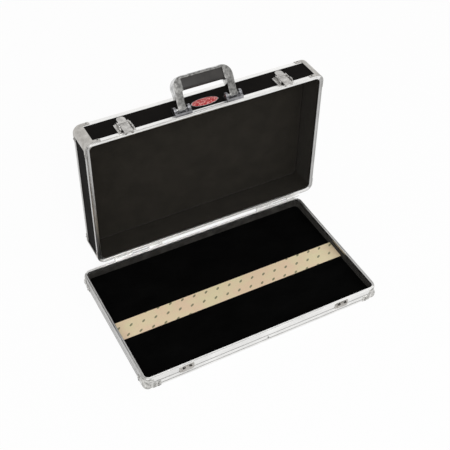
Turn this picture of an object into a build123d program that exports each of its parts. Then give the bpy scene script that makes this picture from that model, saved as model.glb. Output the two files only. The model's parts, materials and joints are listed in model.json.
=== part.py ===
from build123d import *
import os

# Guitar pedal case: a shallow tray and a deeper lid, framed in aluminium, millimetres.
# +Z is up and -Y is the front. The origin is the middle of the tray's underside.
# The lid is drawn closed on the tray, then opened about the hinge pins and slid along them.

# ---------------------------------------------------------------- case, outside
CASE_WIDTH = 570.0
CASE_DEPTH = 342.0
TRAY_HEIGHT = 36.0
LID_HEIGHT = 74.0
CORNER_RADIUS = 18.0
RIM_GAP = 0.4
LID_OPEN_ANGLE = 90.0
LID_SLIDE = 42.0
CUT = 1.0

# ---------------------------------------------------------------- tray
RAIL_SKIN = 1.6
RAIL_RIM_WIDTH = 6.0
RAIL_RIM_INNER_RADIUS = 9.0
RAIL_LIP_DROP = 5.0
RAIL_LIP_THICKNESS = 1.0
RAIL_FOOT_WIDTH = 9.0
RAIL_BOTTOM_RADIUS = 8.0
RAIL_GROOVE_HEIGHTS = (10.5, 21.5)
RAIL_GROOVE_WIDTH = 1.8
RAIL_GROOVE_DEPTH = 0.9
RIM_GROOVE_INSET = 2.2
RIM_GROOVE_WIDTH = 1.6
RIM_GROOVE_DEPTH = 0.7
BOTTOM_PANEL_THICKNESS = 4.0
TRAY_LINING_THICKNESS = 4.3
TRAY_LINING_GAP = 0.5
FLOOR_FOAM_THICKNESS = 7.0
VELOUR_THICKNESS = 2.0
STRIP_WIDTH = 50.0
STRIP_MIDDLE_Y = -12.0
STRIP_THICKNESS = 1.8
LINER_THICKNESS = 0.3
FIT_GAP = 0.2

# ---------------------------------------------------------------- lid
BOARD_THICKNESS = 4.0
FRAME_THICKNESS = 1.0
LID_RIM_WIDTH = 8.5
LID_RIM_FACE = 1.5
LID_RIM_FLANGE = 8.0
LID_RIM_LIP_DROP = 4.0
LID_RIM_INNER_RADIUS = 12.0
LID_EDGE_FLANGE = 14.5
LID_EDGE_RADIUS = 6.0
LID_LINING_THICKNESS = 3.0
LINING_GLUE = 0.1
LID_TOP_LINING_THICKNESS = 5.0

# ---------------------------------------------------------------- corner pieces
LID_GUARD_THICKNESS = 1.0
LID_GUARD_REACH = 20.0
LID_GUARD_EAR_REACH = 35.0
LID_GUARD_REAR_EAR_HEIGHT = 12.0
TRAY_GUARD_THICKNESS = 1.2
TRAY_GUARD_REACH = 20.0
TRAY_GUARD_RIM_DROP = 3.0
TRAY_GUARD_LEG_REACH = 36.0
TRAY_GUARD_LEG_BOTTOM = 4.0
TRAY_GUARD_LEG_TOP = 19.0
BALL_RADIUS = 12.5
BALL_INSET = 10.5

# ---------------------------------------------------------------- slip hinges
HINGE_OFFSET = 4.0
HINGE_LEFT_INSET = 81.0
HINGE_RIGHT_INSET = 115.0
BARREL_RADIUS = 3.4
PIN_RADIUS = 1.6
PIN_CLEARANCE = 0.08
TRAY_BARREL_LENGTH = 43.0
LID_BARREL_LENGTH = 34.0
PIN_REACH = 48.0
BARREL_GAP = 0.4
KNUCKLE_COUNT = 5
KNUCKLE_SLOT = 1.2
KNUCKLE_SLOT_DEPTH = 1.5
LEAF_THICKNESS = 1.5
LEAF_HEIGHT = 24.0
PIN_HEAD_RADIUS = 2.8
PIN_HEAD_LENGTH = 1.2

# ---------------------------------------------------------------- draw latches
LATCH_INSET = 95.0
LATCH_PLATE_WIDTH = 38.0
LATCH_PLATE_HEIGHT = 34.0
LATCH_PLATE_START = 1.0
LATCH_PLATE_THICKNESS = 1.0
LATCH_EAR_THICKNESS = 1.2
LATCH_EAR_HEIGHT = 9.4
LATCH_EAR_LENGTH = 11.0
LATCH_EAR_START = 3.6
LATCH_SIDE_HEIGHT = 3.6
LEVER_WIDTH = 27.0
LEVER_SHEET = 1.2
LEVER_TOP = 9.2
LEVER_CHEEK_BOTTOM = 2.8
LEVER_TOP_START = 23.6
LEVER_SHOULDER = 28.5
LEVER_TOP_END = 37.0
LEVER_CHEEK_END = 31.0
LEVER_NOSE_RADIUS = 9.5
LEVER_PIVOT_OUT = 6.5
LEVER_PIVOT_UP = 9.0
LEVER_PIVOT_RADIUS = 1.5
STUD_HEAD_RADIUS = 2.4
STUD_HEAD_LENGTH = 0.6
LEVER_HEEL_RADIUS = 3.6
LEVER_GAP = 0.6
CLAW_PIN_OUT = 5.0
CLAW_PIN_UP = 20.0
CLAW_PIN_RADIUS = 1.2
CLAW_EYE_RADIUS = 2.4
CLAW_WIDTH = 20.0
CLAW_SHEET = 1.2
CLAW_PLATE_OUT = 6.2
CLAW_END = -7.0
CLAW_TOOTH_WIDTH = 5.2
CLAW_TOOTH_TIP = 1.4
CATCH_WIDTH = 34.0
CATCH_HEIGHT = 16.5
CATCH_START = 1.0
CATCH_SHEET = 1.0
CATCH_BOSS_WIDTH = 24.0
CATCH_BOSS_HEIGHT = 11.0
CATCH_BOSS_RISE = 4.0
CATCH_CORNER_RADIUS = 3.0
CATCH_SLOT_MARGIN = 0.7
CATCH_SLOT_HEIGHT = 5.0

# ---------------------------------------------------------------- carrying handle
HANDLE_SPAN = 123.0
HANDLE_LEAN = 39.0
HANDLE_PIVOT_OUT = 8.0
HANDLE_PIVOT_UP = 14.0
HANDLE_PIN_RADIUS = 2.5
HANDLE_FOOT_RADIUS = 6.0
HANDLE_FOOT_WIDTH = 18.0
HANDLE_NECK = 12.0
HANDLE_SHOULDER_OUT = 9.5
HANDLE_SHOULDER_IN = 12.5
HANDLE_WAIST_OUT = 7.5
HANDLE_WAIST_IN = 9.0
HANDLE_TOP = 67.0
HANDLE_TOP_RADIUS = 24.0
HANDLE_TOP_THICKNESS = 6.0
HANDLE_DEPTH = 24.0
HANDLE_WAIST = 34.0
HANDLE_EDGE = 4.0
GRIP_HEIGHT = 25.0
GRIP_DEPTH = 21.0
GRIP_ROUND = 7.0
BRACKET_WIDTH = 39.0
BRACKET_START = 0.4
BRACKET_HEIGHT = 22.4
BRACKET_PLATE = 1.8
BRACKET_LUG_THICKNESS = 6.0
BRACKET_LUG_RADIUS = 7.0
BRACKET_LIP_HEIGHT = 7.0
BRACKET_LIP_THICKNESS = 2.6

# ---------------------------------------------------------------- worked out
FRONT_Y = -CASE_DEPTH / 2
BACK_Y = CASE_DEPTH / 2
LID_BOTTOM = TRAY_HEIGHT + RIM_GAP
LID_TOP = LID_BOTTOM + LID_HEIGHT
HINGE_Y = BACK_Y + HINGE_OFFSET
HINGE_Z = TRAY_HEIGHT
PANEL_TOP = RAIL_SKIN + BOTTOM_PANEL_THICKNESS
FOAM_TOP = PANEL_TOP + FIT_GAP + FLOOR_FOAM_THICKNESS
FLOOR_TOP = FOAM_TOP + VELOUR_THICKNESS
STRIP_TOP = FLOOR_TOP + STRIP_THICKNESS
TRAY_LINING_OUTSIDE = RAIL_SKIN + TRAY_LINING_GAP
TRAY_LINING_INSIDE = TRAY_LINING_OUTSIDE + TRAY_LINING_THICKNESS
FLOOR_INSET = TRAY_LINING_INSIDE + FIT_GAP
BOARD_INSIDE = FRAME_THICKNESS + BOARD_THICKNESS
LID_LINING_INSIDE = BOARD_INSIDE + LID_LINING_THICKNESS
LATCH_X = {"left": LATCH_INSET - CASE_WIDTH / 2, "right": CASE_WIDTH / 2 - LATCH_INSET}
HINGE_X = {"left": HINGE_LEFT_INSET - CASE_WIDTH / 2, "right": CASE_WIDTH / 2 - HINGE_RIGHT_INSET}
HANDLE_X = {"left": -HANDLE_SPAN / 2, "right": HANDLE_SPAN / 2}
GRIP_HALF = HANDLE_SPAN / 2 - HANDLE_SHOULDER_IN
CORNERS = [(-1, -1), (1, -1), (-1, 1), (1, 1)]


# ---------------------------------------------------------------- shared shapes
def rounded_block(inset, bottom, top, radius=None):
    """An upright block with the case's outline, drawn in by inset."""
    corner = CORNER_RADIUS - inset if radius is None else radius
    outline = RectangleRounded(CASE_WIDTH - 2 * inset, CASE_DEPTH - 2 * inset, corner)
    return Pos(0, 0, bottom) * extrude(outline, top - bottom)


def ring(outer_inset, inner_inset, bottom, top, inner_radius=None):
    """A band round the case between two insets."""
    outer = rounded_block(outer_inset, bottom, top)
    return outer - rounded_block(inner_inset, bottom - CUT, top + CUT, inner_radius)


def box(x_range, y_range, z_range):
    """A box between pairs of coordinates."""
    spans = [sorted(pair) for pair in (x_range, y_range, z_range)]
    size = [high - low for low, high in spans]
    middle = [(high + low) / 2 for low, high in spans]
    return Pos(*middle) * Box(*size)


def rod(radius, x_start, x_end, y, z):
    """A cylinder along X."""
    middle = (x_start + x_end) / 2
    return Pos(middle, y, z) * Rot(0, 90, 0) * Cylinder(radius, abs(x_end - x_start))


def side_wedge(side):
    """The mitred quarter of the plan that belongs to one side of the case."""
    far_x, far_y = CASE_WIDTH / 2 + CORNER_RADIUS, CASE_DEPTH / 2 + CORNER_RADIUS
    inward = far_y / 2
    near_x, near_y = far_x - inward, far_y - inward
    front = [(-far_x, -far_y), (far_x, -far_y), (near_x, -near_y), (-near_x, -near_y)]
    left = [(-far_x, -far_y), (-near_x, -near_y), (-near_x, near_y), (-far_x, far_y)]
    outlines = {
        "front": front,
        "back": [(x, -y) for x, y in front],
        "left": left,
        "right": [(-x, y) for x, y in left],
    }
    face = make_face(Polyline(*outlines[side], close=True))
    return Pos(0, 0, -CUT) * extrude(face, LID_TOP + 2 * CUT)


def corner_zone(signs, x_reach, y_reach, bottom, top):
    """A box that takes in one corner of the case, to a reach along each side."""
    sx, sy = signs
    x_range = (sx * (CASE_WIDTH / 2 - x_reach), sx * (CASE_WIDTH / 2 + CORNER_RADIUS))
    y_range = (sy * (CASE_DEPTH / 2 - y_reach), sy * (CASE_DEPTH / 2 + CORNER_RADIUS))
    return box(x_range, y_range, (bottom, top))


# ---------------------------------------------------------------- tray
def tray_block(inset, bottom, top):
    """The tray's outside, with its rounded lower edge, drawn in by inset."""
    block = rounded_block(inset, bottom, top)
    return fillet(block.faces().sort_by(Axis.Z)[0].edges(), RAIL_BOTTOM_RADIUS - inset)


def tray_cavity():
    """The hollow inside the tray's extrusion, with its lower edge cut at a slant."""
    block = rounded_block(RAIL_SKIN, RAIL_SKIN, TRAY_HEIGHT - RAIL_SKIN)
    return chamfer(block.faces().sort_by(Axis.Z)[0].edges(), RAIL_BOTTOM_RADIUS - RAIL_SKIN)


def tray_frame():
    """The hollow extrusion that runs round the tray, before it is mitred."""
    lip_bottom = TRAY_HEIGHT - RAIL_LIP_DROP
    frame = tray_block(0, 0, TRAY_HEIGHT)
    frame -= tray_cavity()
    frame -= rounded_block(RAIL_FOOT_WIDTH, -CUT, RAIL_SKIN + CUT)
    frame -= rounded_block(
        RAIL_RIM_WIDTH, TRAY_HEIGHT - RAIL_SKIN - CUT, TRAY_HEIGHT + CUT, RAIL_RIM_INNER_RADIUS
    )
    lip = rounded_block(RAIL_RIM_WIDTH - RAIL_LIP_THICKNESS, lip_bottom, TRAY_HEIGHT - RAIL_SKIN)
    lip -= rounded_block(RAIL_RIM_WIDTH, lip_bottom - CUT, TRAY_HEIGHT, RAIL_RIM_INNER_RADIUS)
    frame += lip
    frame -= ring(
        RIM_GROOVE_INSET,
        RIM_GROOVE_INSET + RIM_GROOVE_WIDTH,
        TRAY_HEIGHT - RIM_GROOVE_DEPTH,
        TRAY_HEIGHT + CUT,
    )
    for height in RAIL_GROOVE_HEIGHTS:
        frame -= rail_groove(height)
    return frame


def rail_groove(height):
    """The grooves that run along the four rails at one height, up to the round corners."""
    half_x, half_y = CASE_WIDTH / 2 - CORNER_RADIUS, CASE_DEPTH / 2 - CORNER_RADIUS
    z_range = (height, height + RAIL_GROOVE_WIDTH)
    cuts = []
    for side in (-1, 1):
        y_range = (side * (CASE_DEPTH / 2 - RAIL_GROOVE_DEPTH), side * (CASE_DEPTH / 2 + CUT))
        cuts.append(box((-half_x, half_x), y_range, z_range))
        x_range = (side * (CASE_WIDTH / 2 - RAIL_GROOVE_DEPTH), side * (CASE_WIDTH / 2 + CUT))
        cuts.append(box(x_range, (-half_y, half_y), z_range))
    return cuts


def tray_bottom_panel():
    """The bottom board: flush underneath, and rebated over the rails' foot."""
    top_layer = rounded_block(RAIL_BOTTOM_RADIUS, RAIL_SKIN, PANEL_TOP)
    return top_layer + rounded_block(RAIL_FOOT_WIDTH + FIT_GAP, 0, RAIL_SKIN)


def tray_lining():
    """The lined boards inside the tray's four walls."""
    return ring(
        TRAY_LINING_OUTSIDE,
        TRAY_LINING_INSIDE,
        RAIL_BOTTOM_RADIUS + FIT_GAP,
        TRAY_HEIGHT - RAIL_LIP_DROP - FIT_GAP,
        RAIL_RIM_INNER_RADIUS,
    )


def floor_layer(bottom, top):
    """One soft layer of the tray's floor."""
    return rounded_block(FLOOR_INSET, bottom, top, RAIL_RIM_INNER_RADIUS - FIT_GAP)


def floor_strip(bottom, top):
    """A band across the floor, from lining to lining."""
    half = CASE_WIDTH / 2 - FLOOR_INSET
    y_range = (STRIP_MIDDLE_Y - STRIP_WIDTH / 2, STRIP_MIDDLE_Y + STRIP_WIDTH / 2)
    return box((-half, half), y_range, (bottom, top))


def tray_corner(signs):
    """A pressed corner piece: a rounded shell, a leg along each side and a ball."""
    sx, sy = signs
    shell = tray_block(-TRAY_GUARD_THICKNESS, -TRAY_GUARD_THICKNESS, TRAY_HEIGHT)
    shell -= tray_block(0, 0, TRAY_HEIGHT + CUT)
    reach = TRAY_GUARD_REACH
    top = TRAY_HEIGHT - TRAY_GUARD_RIM_DROP
    zone = corner_zone(signs, reach, reach, RAIL_BOTTOM_RADIUS, top)
    leg_heights = (TRAY_GUARD_LEG_BOTTOM, TRAY_GUARD_LEG_TOP)
    legs = corner_zone(signs, TRAY_GUARD_LEG_REACH, CORNER_RADIUS, *leg_heights)
    legs += corner_zone(signs, CORNER_RADIUS, TRAY_GUARD_LEG_REACH, *leg_heights)
    zone += legs - corner_zone(signs, CORNER_RADIUS, CORNER_RADIUS, 0, RAIL_BOTTOM_RADIUS)
    ball_x = sx * (CASE_WIDTH / 2 - BALL_INSET)
    ball_y = sy * (CASE_DEPTH / 2 - BALL_INSET)
    ball = Pos(ball_x, ball_y, BALL_RADIUS) * Sphere(BALL_RADIUS)
    ball -= tray_block(0, 0, TRAY_HEIGHT + CUT)
    return (shell & zone) + ball


# ---------------------------------------------------------------- lid
def lid_block(inset, bottom):
    """The lid's outside, with its rounded upper edge, drawn in by inset."""
    block = rounded_block(inset, bottom, LID_TOP - inset)
    return fillet(block.faces().sort_by(Axis.Z)[-1].edges(), LID_EDGE_RADIUS - inset)


def lid_rim_frame():
    """The frame round the lid's mouth, before it is mitred."""
    frame = ring(0, LID_RIM_WIDTH, LID_BOTTOM, LID_BOTTOM + LID_RIM_FACE, LID_RIM_INNER_RADIUS)
    frame += ring(0, FRAME_THICKNESS, LID_BOTTOM, LID_BOTTOM + LID_RIM_FLANGE)
    lip = rounded_block(
        LID_RIM_WIDTH - RAIL_LIP_THICKNESS,
        LID_BOTTOM,
        LID_BOTTOM + LID_RIM_LIP_DROP,
        LID_RIM_INNER_RADIUS + RAIL_LIP_THICKNESS,
    )
    lip -= rounded_block(LID_RIM_WIDTH, LID_BOTTOM - CUT, LID_TOP, LID_RIM_INNER_RADIUS)
    frame += lip
    frame -= ring(
        RIM_GROOVE_INSET,
        RIM_GROOVE_INSET + RIM_GROOVE_WIDTH,
        LID_BOTTOM - CUT,
        LID_BOTTOM + RIM_GROOVE_DEPTH,
    )
    return frame


def lid_edge_frame():
    """The angle frame round the lid's top edge, before it is mitred."""
    bottom = LID_TOP - LID_EDGE_FLANGE
    hollow = rounded_block(FRAME_THICKNESS, bottom - CUT, LID_TOP - FRAME_THICKNESS)
    upper_edges = hollow.faces().sort_by(Axis.Z)[-1].edges()
    frame = lid_block(0, bottom) - chamfer(upper_edges, LID_EDGE_RADIUS - FRAME_THICKNESS)
    return frame - rounded_block(LID_EDGE_FLANGE, bottom, LID_TOP + CUT, CORNER_RADIUS)


def lid_wall_boards():
    """The four laminated wall boards, before they are mitred."""
    bottom = LID_BOTTOM + LID_RIM_FACE
    return ring(FRAME_THICKNESS, BOARD_INSIDE, bottom, LID_TOP - LID_EDGE_RADIUS)


def lid_top_panel():
    """The laminated top board, held under the angle frame."""
    return rounded_block(LID_EDGE_RADIUS, LID_TOP - BOARD_INSIDE, LID_TOP - FRAME_THICKNESS)


def lid_wall_lining():
    """The lining inside the lid's four walls."""
    return ring(
        BOARD_INSIDE + LINING_GLUE,
        LID_LINING_INSIDE,
        LID_BOTTOM + LID_RIM_LIP_DROP + FIT_GAP,
        LID_TOP - BOARD_INSIDE - LID_TOP_LINING_THICKNESS,
        LID_RIM_INNER_RADIUS,
    )


def lid_top_lining():
    """The padded lining under the lid's top board."""
    top = LID_TOP - BOARD_INSIDE
    return rounded_block(BOARD_INSIDE + LINING_GLUE, top - LID_TOP_LINING_THICKNESS, top)


def lid_corner(signs):
    """A corner piece as deep as the lid: a quarter-round skin with riveted ears."""
    skin = lid_block(-LID_GUARD_THICKNESS, LID_BOTTOM) - lid_block(0, LID_BOTTOM - CUT)
    top = LID_TOP + LID_GUARD_THICKNESS
    zone = corner_zone(signs, LID_GUARD_REACH, LID_GUARD_REACH, LID_BOTTOM, top)
    ear_ranges = (
        (LID_BOTTOM, LID_BOTTOM + LID_RIM_FLANGE),
        (LID_TOP - LID_GUARD_REAR_EAR_HEIGHT, top),
    )
    for low, high in ear_ranges:
        zone += corner_zone(signs, LID_GUARD_EAR_REACH, LID_EDGE_FLANGE, low, high)
        zone += corner_zone(signs, LID_EDGE_FLANGE, LID_GUARD_EAR_REACH, low, high)
    return skin & zone


# ---------------------------------------------------------------- slip hinges
def tray_hinge_leaf(x_start):
    """The tray's hinge half: a leaf on the back rail and a grooved barrel."""
    x_end = x_start + TRAY_BARREL_LENGTH
    leaf_top = HINGE_Z
    leaf = box((x_start, x_end), (BACK_Y, BACK_Y + LEAF_THICKNESS), (leaf_top - LEAF_HEIGHT, leaf_top))
    leaf += rod(BARREL_RADIUS, x_start, x_end, HINGE_Y, HINGE_Z)
    pitch = (TRAY_BARREL_LENGTH + KNUCKLE_SLOT) / KNUCKLE_COUNT
    for index in range(1, KNUCKLE_COUNT):
        slot_start = x_start + index * pitch - KNUCKLE_SLOT
        z_range = (HINGE_Z + BARREL_RADIUS - KNUCKLE_SLOT_DEPTH, HINGE_Z + BARREL_RADIUS + CUT)
        y_range = (HINGE_Y - BARREL_RADIUS - CUT, HINGE_Y + BARREL_RADIUS + CUT)
        leaf -= box((slot_start, slot_start + KNUCKLE_SLOT), y_range, z_range)
    bore_ends = (x_start - CUT, x_end + CUT)
    return leaf - rod(PIN_RADIUS + PIN_CLEARANCE, *bore_ends, HINGE_Y, HINGE_Z)


def lid_hinge_leaf(x_start):
    """The lid's hinge half: a leaf on the back wall and a long plain barrel."""
    start = x_start + TRAY_BARREL_LENGTH + BARREL_GAP
    x_range = (start, start + LID_BARREL_LENGTH)
    leaf = box(x_range, (BACK_Y, BACK_Y + LEAF_THICKNESS), (HINGE_Z, HINGE_Z + LEAF_HEIGHT))
    board_start = LID_BOTTOM + LID_RIM_FLANGE + FIT_GAP
    leaf += box(x_range, (BACK_Y - FRAME_THICKNESS, BACK_Y), (board_start, HINGE_Z + LEAF_HEIGHT))
    leaf += rod(BARREL_RADIUS, *x_range, HINGE_Y, HINGE_Z)
    bore_ends = (start - CUT, start + LID_BARREL_LENGTH + CUT)
    return leaf - rod(PIN_RADIUS + PIN_CLEARANCE, *bore_ends, HINGE_Y, HINGE_Z)


def hinge_pin(x_start):
    """A pin with a head at its left end, which runs on past the tray's barrel."""
    x_end = x_start + TRAY_BARREL_LENGTH + PIN_REACH
    head_end = x_start - BARREL_GAP
    pin = rod(PIN_RADIUS, head_end, x_end, HINGE_Y, HINGE_Z)
    return pin + rod(PIN_HEAD_RADIUS, head_end - PIN_HEAD_LENGTH, head_end, HINGE_Y, HINGE_Z)


# ---------------------------------------------------------------- draw latches
def on_front(middle_x, shape):
    """Puts a piece drawn with Y outwards and Z up from the rim onto the lid's front."""
    return Pos(middle_x, FRONT_Y, LID_BOTTOM) * Rot(0, 0, 180) * shape


def latch_plate():
    """The latch's back plate, with two ears and their pivot studs."""
    half = LATCH_PLATE_WIDTH / 2
    top = LATCH_PLATE_START + LATCH_PLATE_HEIGHT
    plate = box((-half, half), (0, LATCH_PLATE_THICKNESS), (LATCH_PLATE_START, top))
    board_start = LID_RIM_FLANGE + FIT_GAP
    plate += box((-half, half), (-FRAME_THICKNESS, 0), (board_start, top))
    ear_inside = LEVER_WIDTH / 2 + LEVER_GAP
    ear_outside = ear_inside + LATCH_EAR_THICKNESS
    ear_top = LATCH_EAR_START + LATCH_EAR_LENGTH
    for side in (-1, 1):
        x_range = (side * ear_inside, side * ear_outside)
        wall = box(x_range, (0, LATCH_SIDE_HEIGHT), (LATCH_EAR_START, top))
        ear = box(x_range, (0, LATCH_EAR_HEIGHT), (LATCH_EAR_START, ear_top))
        outer_edges = ear.edges().filter_by(Axis.X).sort_by(Axis.Y)[-2:]
        plate += wall + fillet(outer_edges, STUD_HEAD_RADIUS)
        stud_inside = side * (LEVER_WIDTH / 2 - LEVER_SHEET)
        pivot = (LEVER_PIVOT_OUT, LEVER_PIVOT_UP)
        plate += rod(LEVER_PIVOT_RADIUS, stud_inside, side * ear_outside, *pivot)
        head = (side * ear_outside, side * (ear_outside + STUD_HEAD_LENGTH))
        plate += rod(STUD_HEAD_RADIUS, *head, *pivot)
    return plate


def latch_lever():
    """The lever: a narrow round-nosed finger plate that widens over two cheeks."""
    half = LEVER_WIDTH / 2
    plate_range = (LEVER_TOP - LEVER_SHEET, LEVER_TOP)
    lever = box((-half, half), plate_range, (LEVER_TOP_START, LEVER_SHOULDER))
    lever += box((-LEVER_NOSE_RADIUS, LEVER_NOSE_RADIUS), plate_range, (LEVER_SHOULDER, LEVER_TOP_END))
    lever += Pos(0, LEVER_TOP, LEVER_TOP_END) * Rot(90, 0, 0) * Cylinder(
        LEVER_NOSE_RADIUS, LEVER_SHEET, align=(Align.CENTER, Align.CENTER, Align.MIN)
    )
    for side in (-1, 1):
        x_range = (side * half, side * (half - LEVER_SHEET))
        cheek = box(x_range, (LEVER_CHEEK_BOTTOM, LEVER_TOP), (LEVER_PIVOT_UP, LEVER_CHEEK_END))
        lever += cheek + rod(LEVER_HEEL_RADIUS, *x_range, LEVER_PIVOT_OUT, LEVER_PIVOT_UP)
    hole = LEVER_PIVOT_RADIUS + PIN_CLEARANCE
    lever -= rod(hole, -half - CUT, half + CUT, LEVER_PIVOT_OUT, LEVER_PIVOT_UP)
    return lever - rod(CLAW_PIN_RADIUS, -half - CUT, half + CUT, CLAW_PIN_OUT, CLAW_PIN_UP)


def latch_claw_pin():
    """The pin through the lever's cheeks that carries the claw."""
    half = LEVER_WIDTH / 2
    return rod(CLAW_PIN_RADIUS, -half, half, CLAW_PIN_OUT, CLAW_PIN_UP)


def latch_claw():
    """The claw: an eye, a flat plate and two teeth that enter the catch."""
    half = CLAW_WIDTH / 2
    plate_range = (CLAW_PLATE_OUT, CLAW_PLATE_OUT + CLAW_SHEET)
    claw = box((-half, half), plate_range, (CLAW_END, CLAW_PIN_UP))
    claw += rod(CLAW_EYE_RADIUS, -half, half, CLAW_PIN_OUT, CLAW_PIN_UP)
    for side in (-1, 1):
        x_range = (side * half, side * (half - CLAW_TOOTH_WIDTH))
        claw += box(x_range, (CLAW_TOOTH_TIP, CLAW_PLATE_OUT), (CLAW_END, CLAW_END + CLAW_SHEET))
    bore = CLAW_PIN_RADIUS + PIN_CLEARANCE
    return claw - rod(bore, -half - CUT, half + CUT, CLAW_PIN_OUT, CLAW_PIN_UP)


def catch_plate(middle_x):
    """The catch on the tray's front rail: a raised plate with two slots."""
    half = CATCH_WIDTH / 2
    top = TRAY_HEIGHT - CATCH_START
    low = top - CATCH_HEIGHT
    boss_half = CATCH_BOSS_WIDTH / 2
    boss_top = top - (CATCH_HEIGHT - CATCH_BOSS_HEIGHT) / 2
    boss_low = boss_top - CATCH_BOSS_HEIGHT
    plate = box((-half, half), (0, CATCH_SHEET), (low, top))
    plate = fillet(plate.edges().filter_by(Axis.Y), CATCH_CORNER_RADIUS)
    plate += box((-boss_half, boss_half), (0, CATCH_BOSS_RISE), (boss_low, boss_top))
    hollow = boss_half - CATCH_SHEET
    rise = CATCH_BOSS_RISE - CATCH_SHEET
    plate -= box(
        (-hollow, hollow), (-CUT, rise), (boss_low + CATCH_SHEET, boss_top - CATCH_SHEET)
    )
    slot_low = LID_BOTTOM + CLAW_END - CATCH_SLOT_MARGIN
    slot_range = (slot_low, slot_low + CATCH_SLOT_HEIGHT)
    for side in (-1, 1):
        outside = CLAW_WIDTH / 2 + CATCH_SLOT_MARGIN
        inside = CLAW_WIDTH / 2 - CLAW_TOOTH_WIDTH - CATCH_SLOT_MARGIN
        plate -= box((side * outside, side * inside), (0, CATCH_BOSS_RISE + CUT), slot_range)
    return Pos(middle_x, FRONT_Y, 0) * Rot(0, 0, 180) * plate


# ---------------------------------------------------------------- carrying handle
def handle_bracket():
    """A handle bracket: a plate, two lugs and a low front lip."""
    half = BRACKET_WIDTH / 2
    top = BRACKET_START + BRACKET_HEIGHT
    bracket = box((-half, half), (0, BRACKET_PLATE), (BRACKET_START, top))
    board_start = LID_RIM_FLANGE + FIT_GAP
    bracket += box((-half, half), (-FRAME_THICKNESS, 0), (board_start, top))
    lip_range = (BRACKET_START, BRACKET_START + BRACKET_LIP_THICKNESS)
    bracket += box((-half, half), (0, BRACKET_LIP_HEIGHT), lip_range)
    for side in (-1, 1):
        x_range = (side * half, side * (half - BRACKET_LUG_THICKNESS))
        z_range = (HANDLE_PIVOT_UP - BRACKET_LUG_RADIUS, HANDLE_PIVOT_UP + BRACKET_LUG_RADIUS)
        bracket += box(x_range, (0, HANDLE_PIVOT_OUT), z_range)
        bracket += rod(BRACKET_LUG_RADIUS, *x_range, HANDLE_PIVOT_OUT, HANDLE_PIVOT_UP)
        bracket += box(x_range, (0, BRACKET_LIP_HEIGHT), (BRACKET_START, HANDLE_PIVOT_UP))
    bore_ends = (-half - CUT, half + CUT)
    return bracket - rod(HANDLE_PIN_RADIUS, *bore_ends, HANDLE_PIVOT_OUT, HANDLE_PIVOT_UP)


def handle_pin():
    """The pin through a bracket's lugs and the handle's foot."""
    half = BRACKET_WIDTH / 2
    return rod(HANDLE_PIN_RADIUS, -half, half, HANDLE_PIVOT_OUT, HANDLE_PIVOT_UP)


def handle_front_outline():
    """The bow seen from the front: X across and Y along the handle's height."""
    middle = HANDLE_SPAN / 2
    foot_outside = middle + HANDLE_FOOT_WIDTH / 2
    foot_inside = middle - HANDLE_FOOT_WIDTH / 2
    right_half = [
        (foot_inside, -HANDLE_FOOT_RADIUS),
        (foot_outside, -HANDLE_FOOT_RADIUS),
        (foot_outside, HANDLE_NECK),
        (middle + HANDLE_WAIST_OUT, HANDLE_WAIST),
        (middle + HANDLE_SHOULDER_OUT, HANDLE_TOP),
    ]
    inner_half = [
        (middle - HANDLE_SHOULDER_IN, HANDLE_TOP - HANDLE_TOP_THICKNESS),
        (middle - HANDLE_SHOULDER_IN, HANDLE_TOP - HANDLE_TOP_THICKNESS - GRIP_HEIGHT),
        (middle - HANDLE_WAIST_IN, HANDLE_WAIST),
        (foot_inside, HANDLE_NECK),
    ]
    loop = right_half + [(-x, y) for x, y in reversed(right_half)]
    loop += [(-x, y) for x, y in reversed(inner_half)] + inner_half
    face = make_face(Polyline(*loop, close=True))
    tops = face.vertices().sort_by(Axis.Y)[-2:]
    return fillet(tops, HANDLE_TOP_RADIUS)


def handle_side_outline():
    """The bow seen from its end: X is its depth and Y its height."""
    half = HANDLE_DEPTH / 2
    foot = HANDLE_FOOT_RADIUS
    right_half = [(foot, 0), (foot, HANDLE_NECK), (half, HANDLE_WAIST), (half, HANDLE_TOP)]
    loop = right_half + [(-x, y) for x, y in reversed(right_half)]
    face = make_face(Polyline(*loop, close=True))
    tops = face.vertices().sort_by(Axis.Y)[-2:]
    return fillet(tops, HANDLE_EDGE) + Circle(foot)


def stand_handle(shape):
    """Leans a piece drawn with Z as the handle's height out from the lid's front."""
    return Pos(0, HANDLE_PIVOT_OUT, HANDLE_PIVOT_UP) * Rot(HANDLE_LEAN - 90, 0, 0) * shape


def handle_bow():
    """The cast bow: its front and side outlines crossed, bored for the pins."""
    reach = HANDLE_SPAN / 2 + HANDLE_FOOT_WIDTH
    front = extrude(Plane.XZ * handle_front_outline(), HANDLE_DEPTH, both=True)
    side = extrude(Plane.YZ * handle_side_outline(), reach, both=True)
    return (front & side) - rod(HANDLE_PIN_RADIUS + PIN_CLEARANCE, -reach, reach, 0, 0)


def handle_grip():
    """The grip bar under the bow's top band."""
    top = HANDLE_TOP - HANDLE_TOP_THICKNESS
    y_range = (-GRIP_DEPTH / 2, GRIP_DEPTH / 2)
    bar = box((-GRIP_HALF, GRIP_HALF), y_range, (top - GRIP_HEIGHT, top))
    lower_edges = bar.edges().filter_by(Axis.X).sort_by(Axis.Z)[:2]
    return fillet(lower_edges, GRIP_ROUND)


# ---------------------------------------------------------------- assembly
def open_lid(shape):
    """Swings a closed lid piece open about the hinge pins and slides it along them."""
    to_axis = Pos(0, HINGE_Y, HINGE_Z)
    from_axis = Pos(0, -HINGE_Y, -HINGE_Z)
    return Pos(LID_SLIDE, 0, 0) * to_axis * Rot(-LID_OPEN_ANGLE, 0, 0) * from_axis * shape


def mitred(prefix, frame):
    """Cuts a frame into its four sides."""
    return {f"{prefix}_{side}": frame & side_wedge(side) for side in ("front", "back", "left", "right")}


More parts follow.
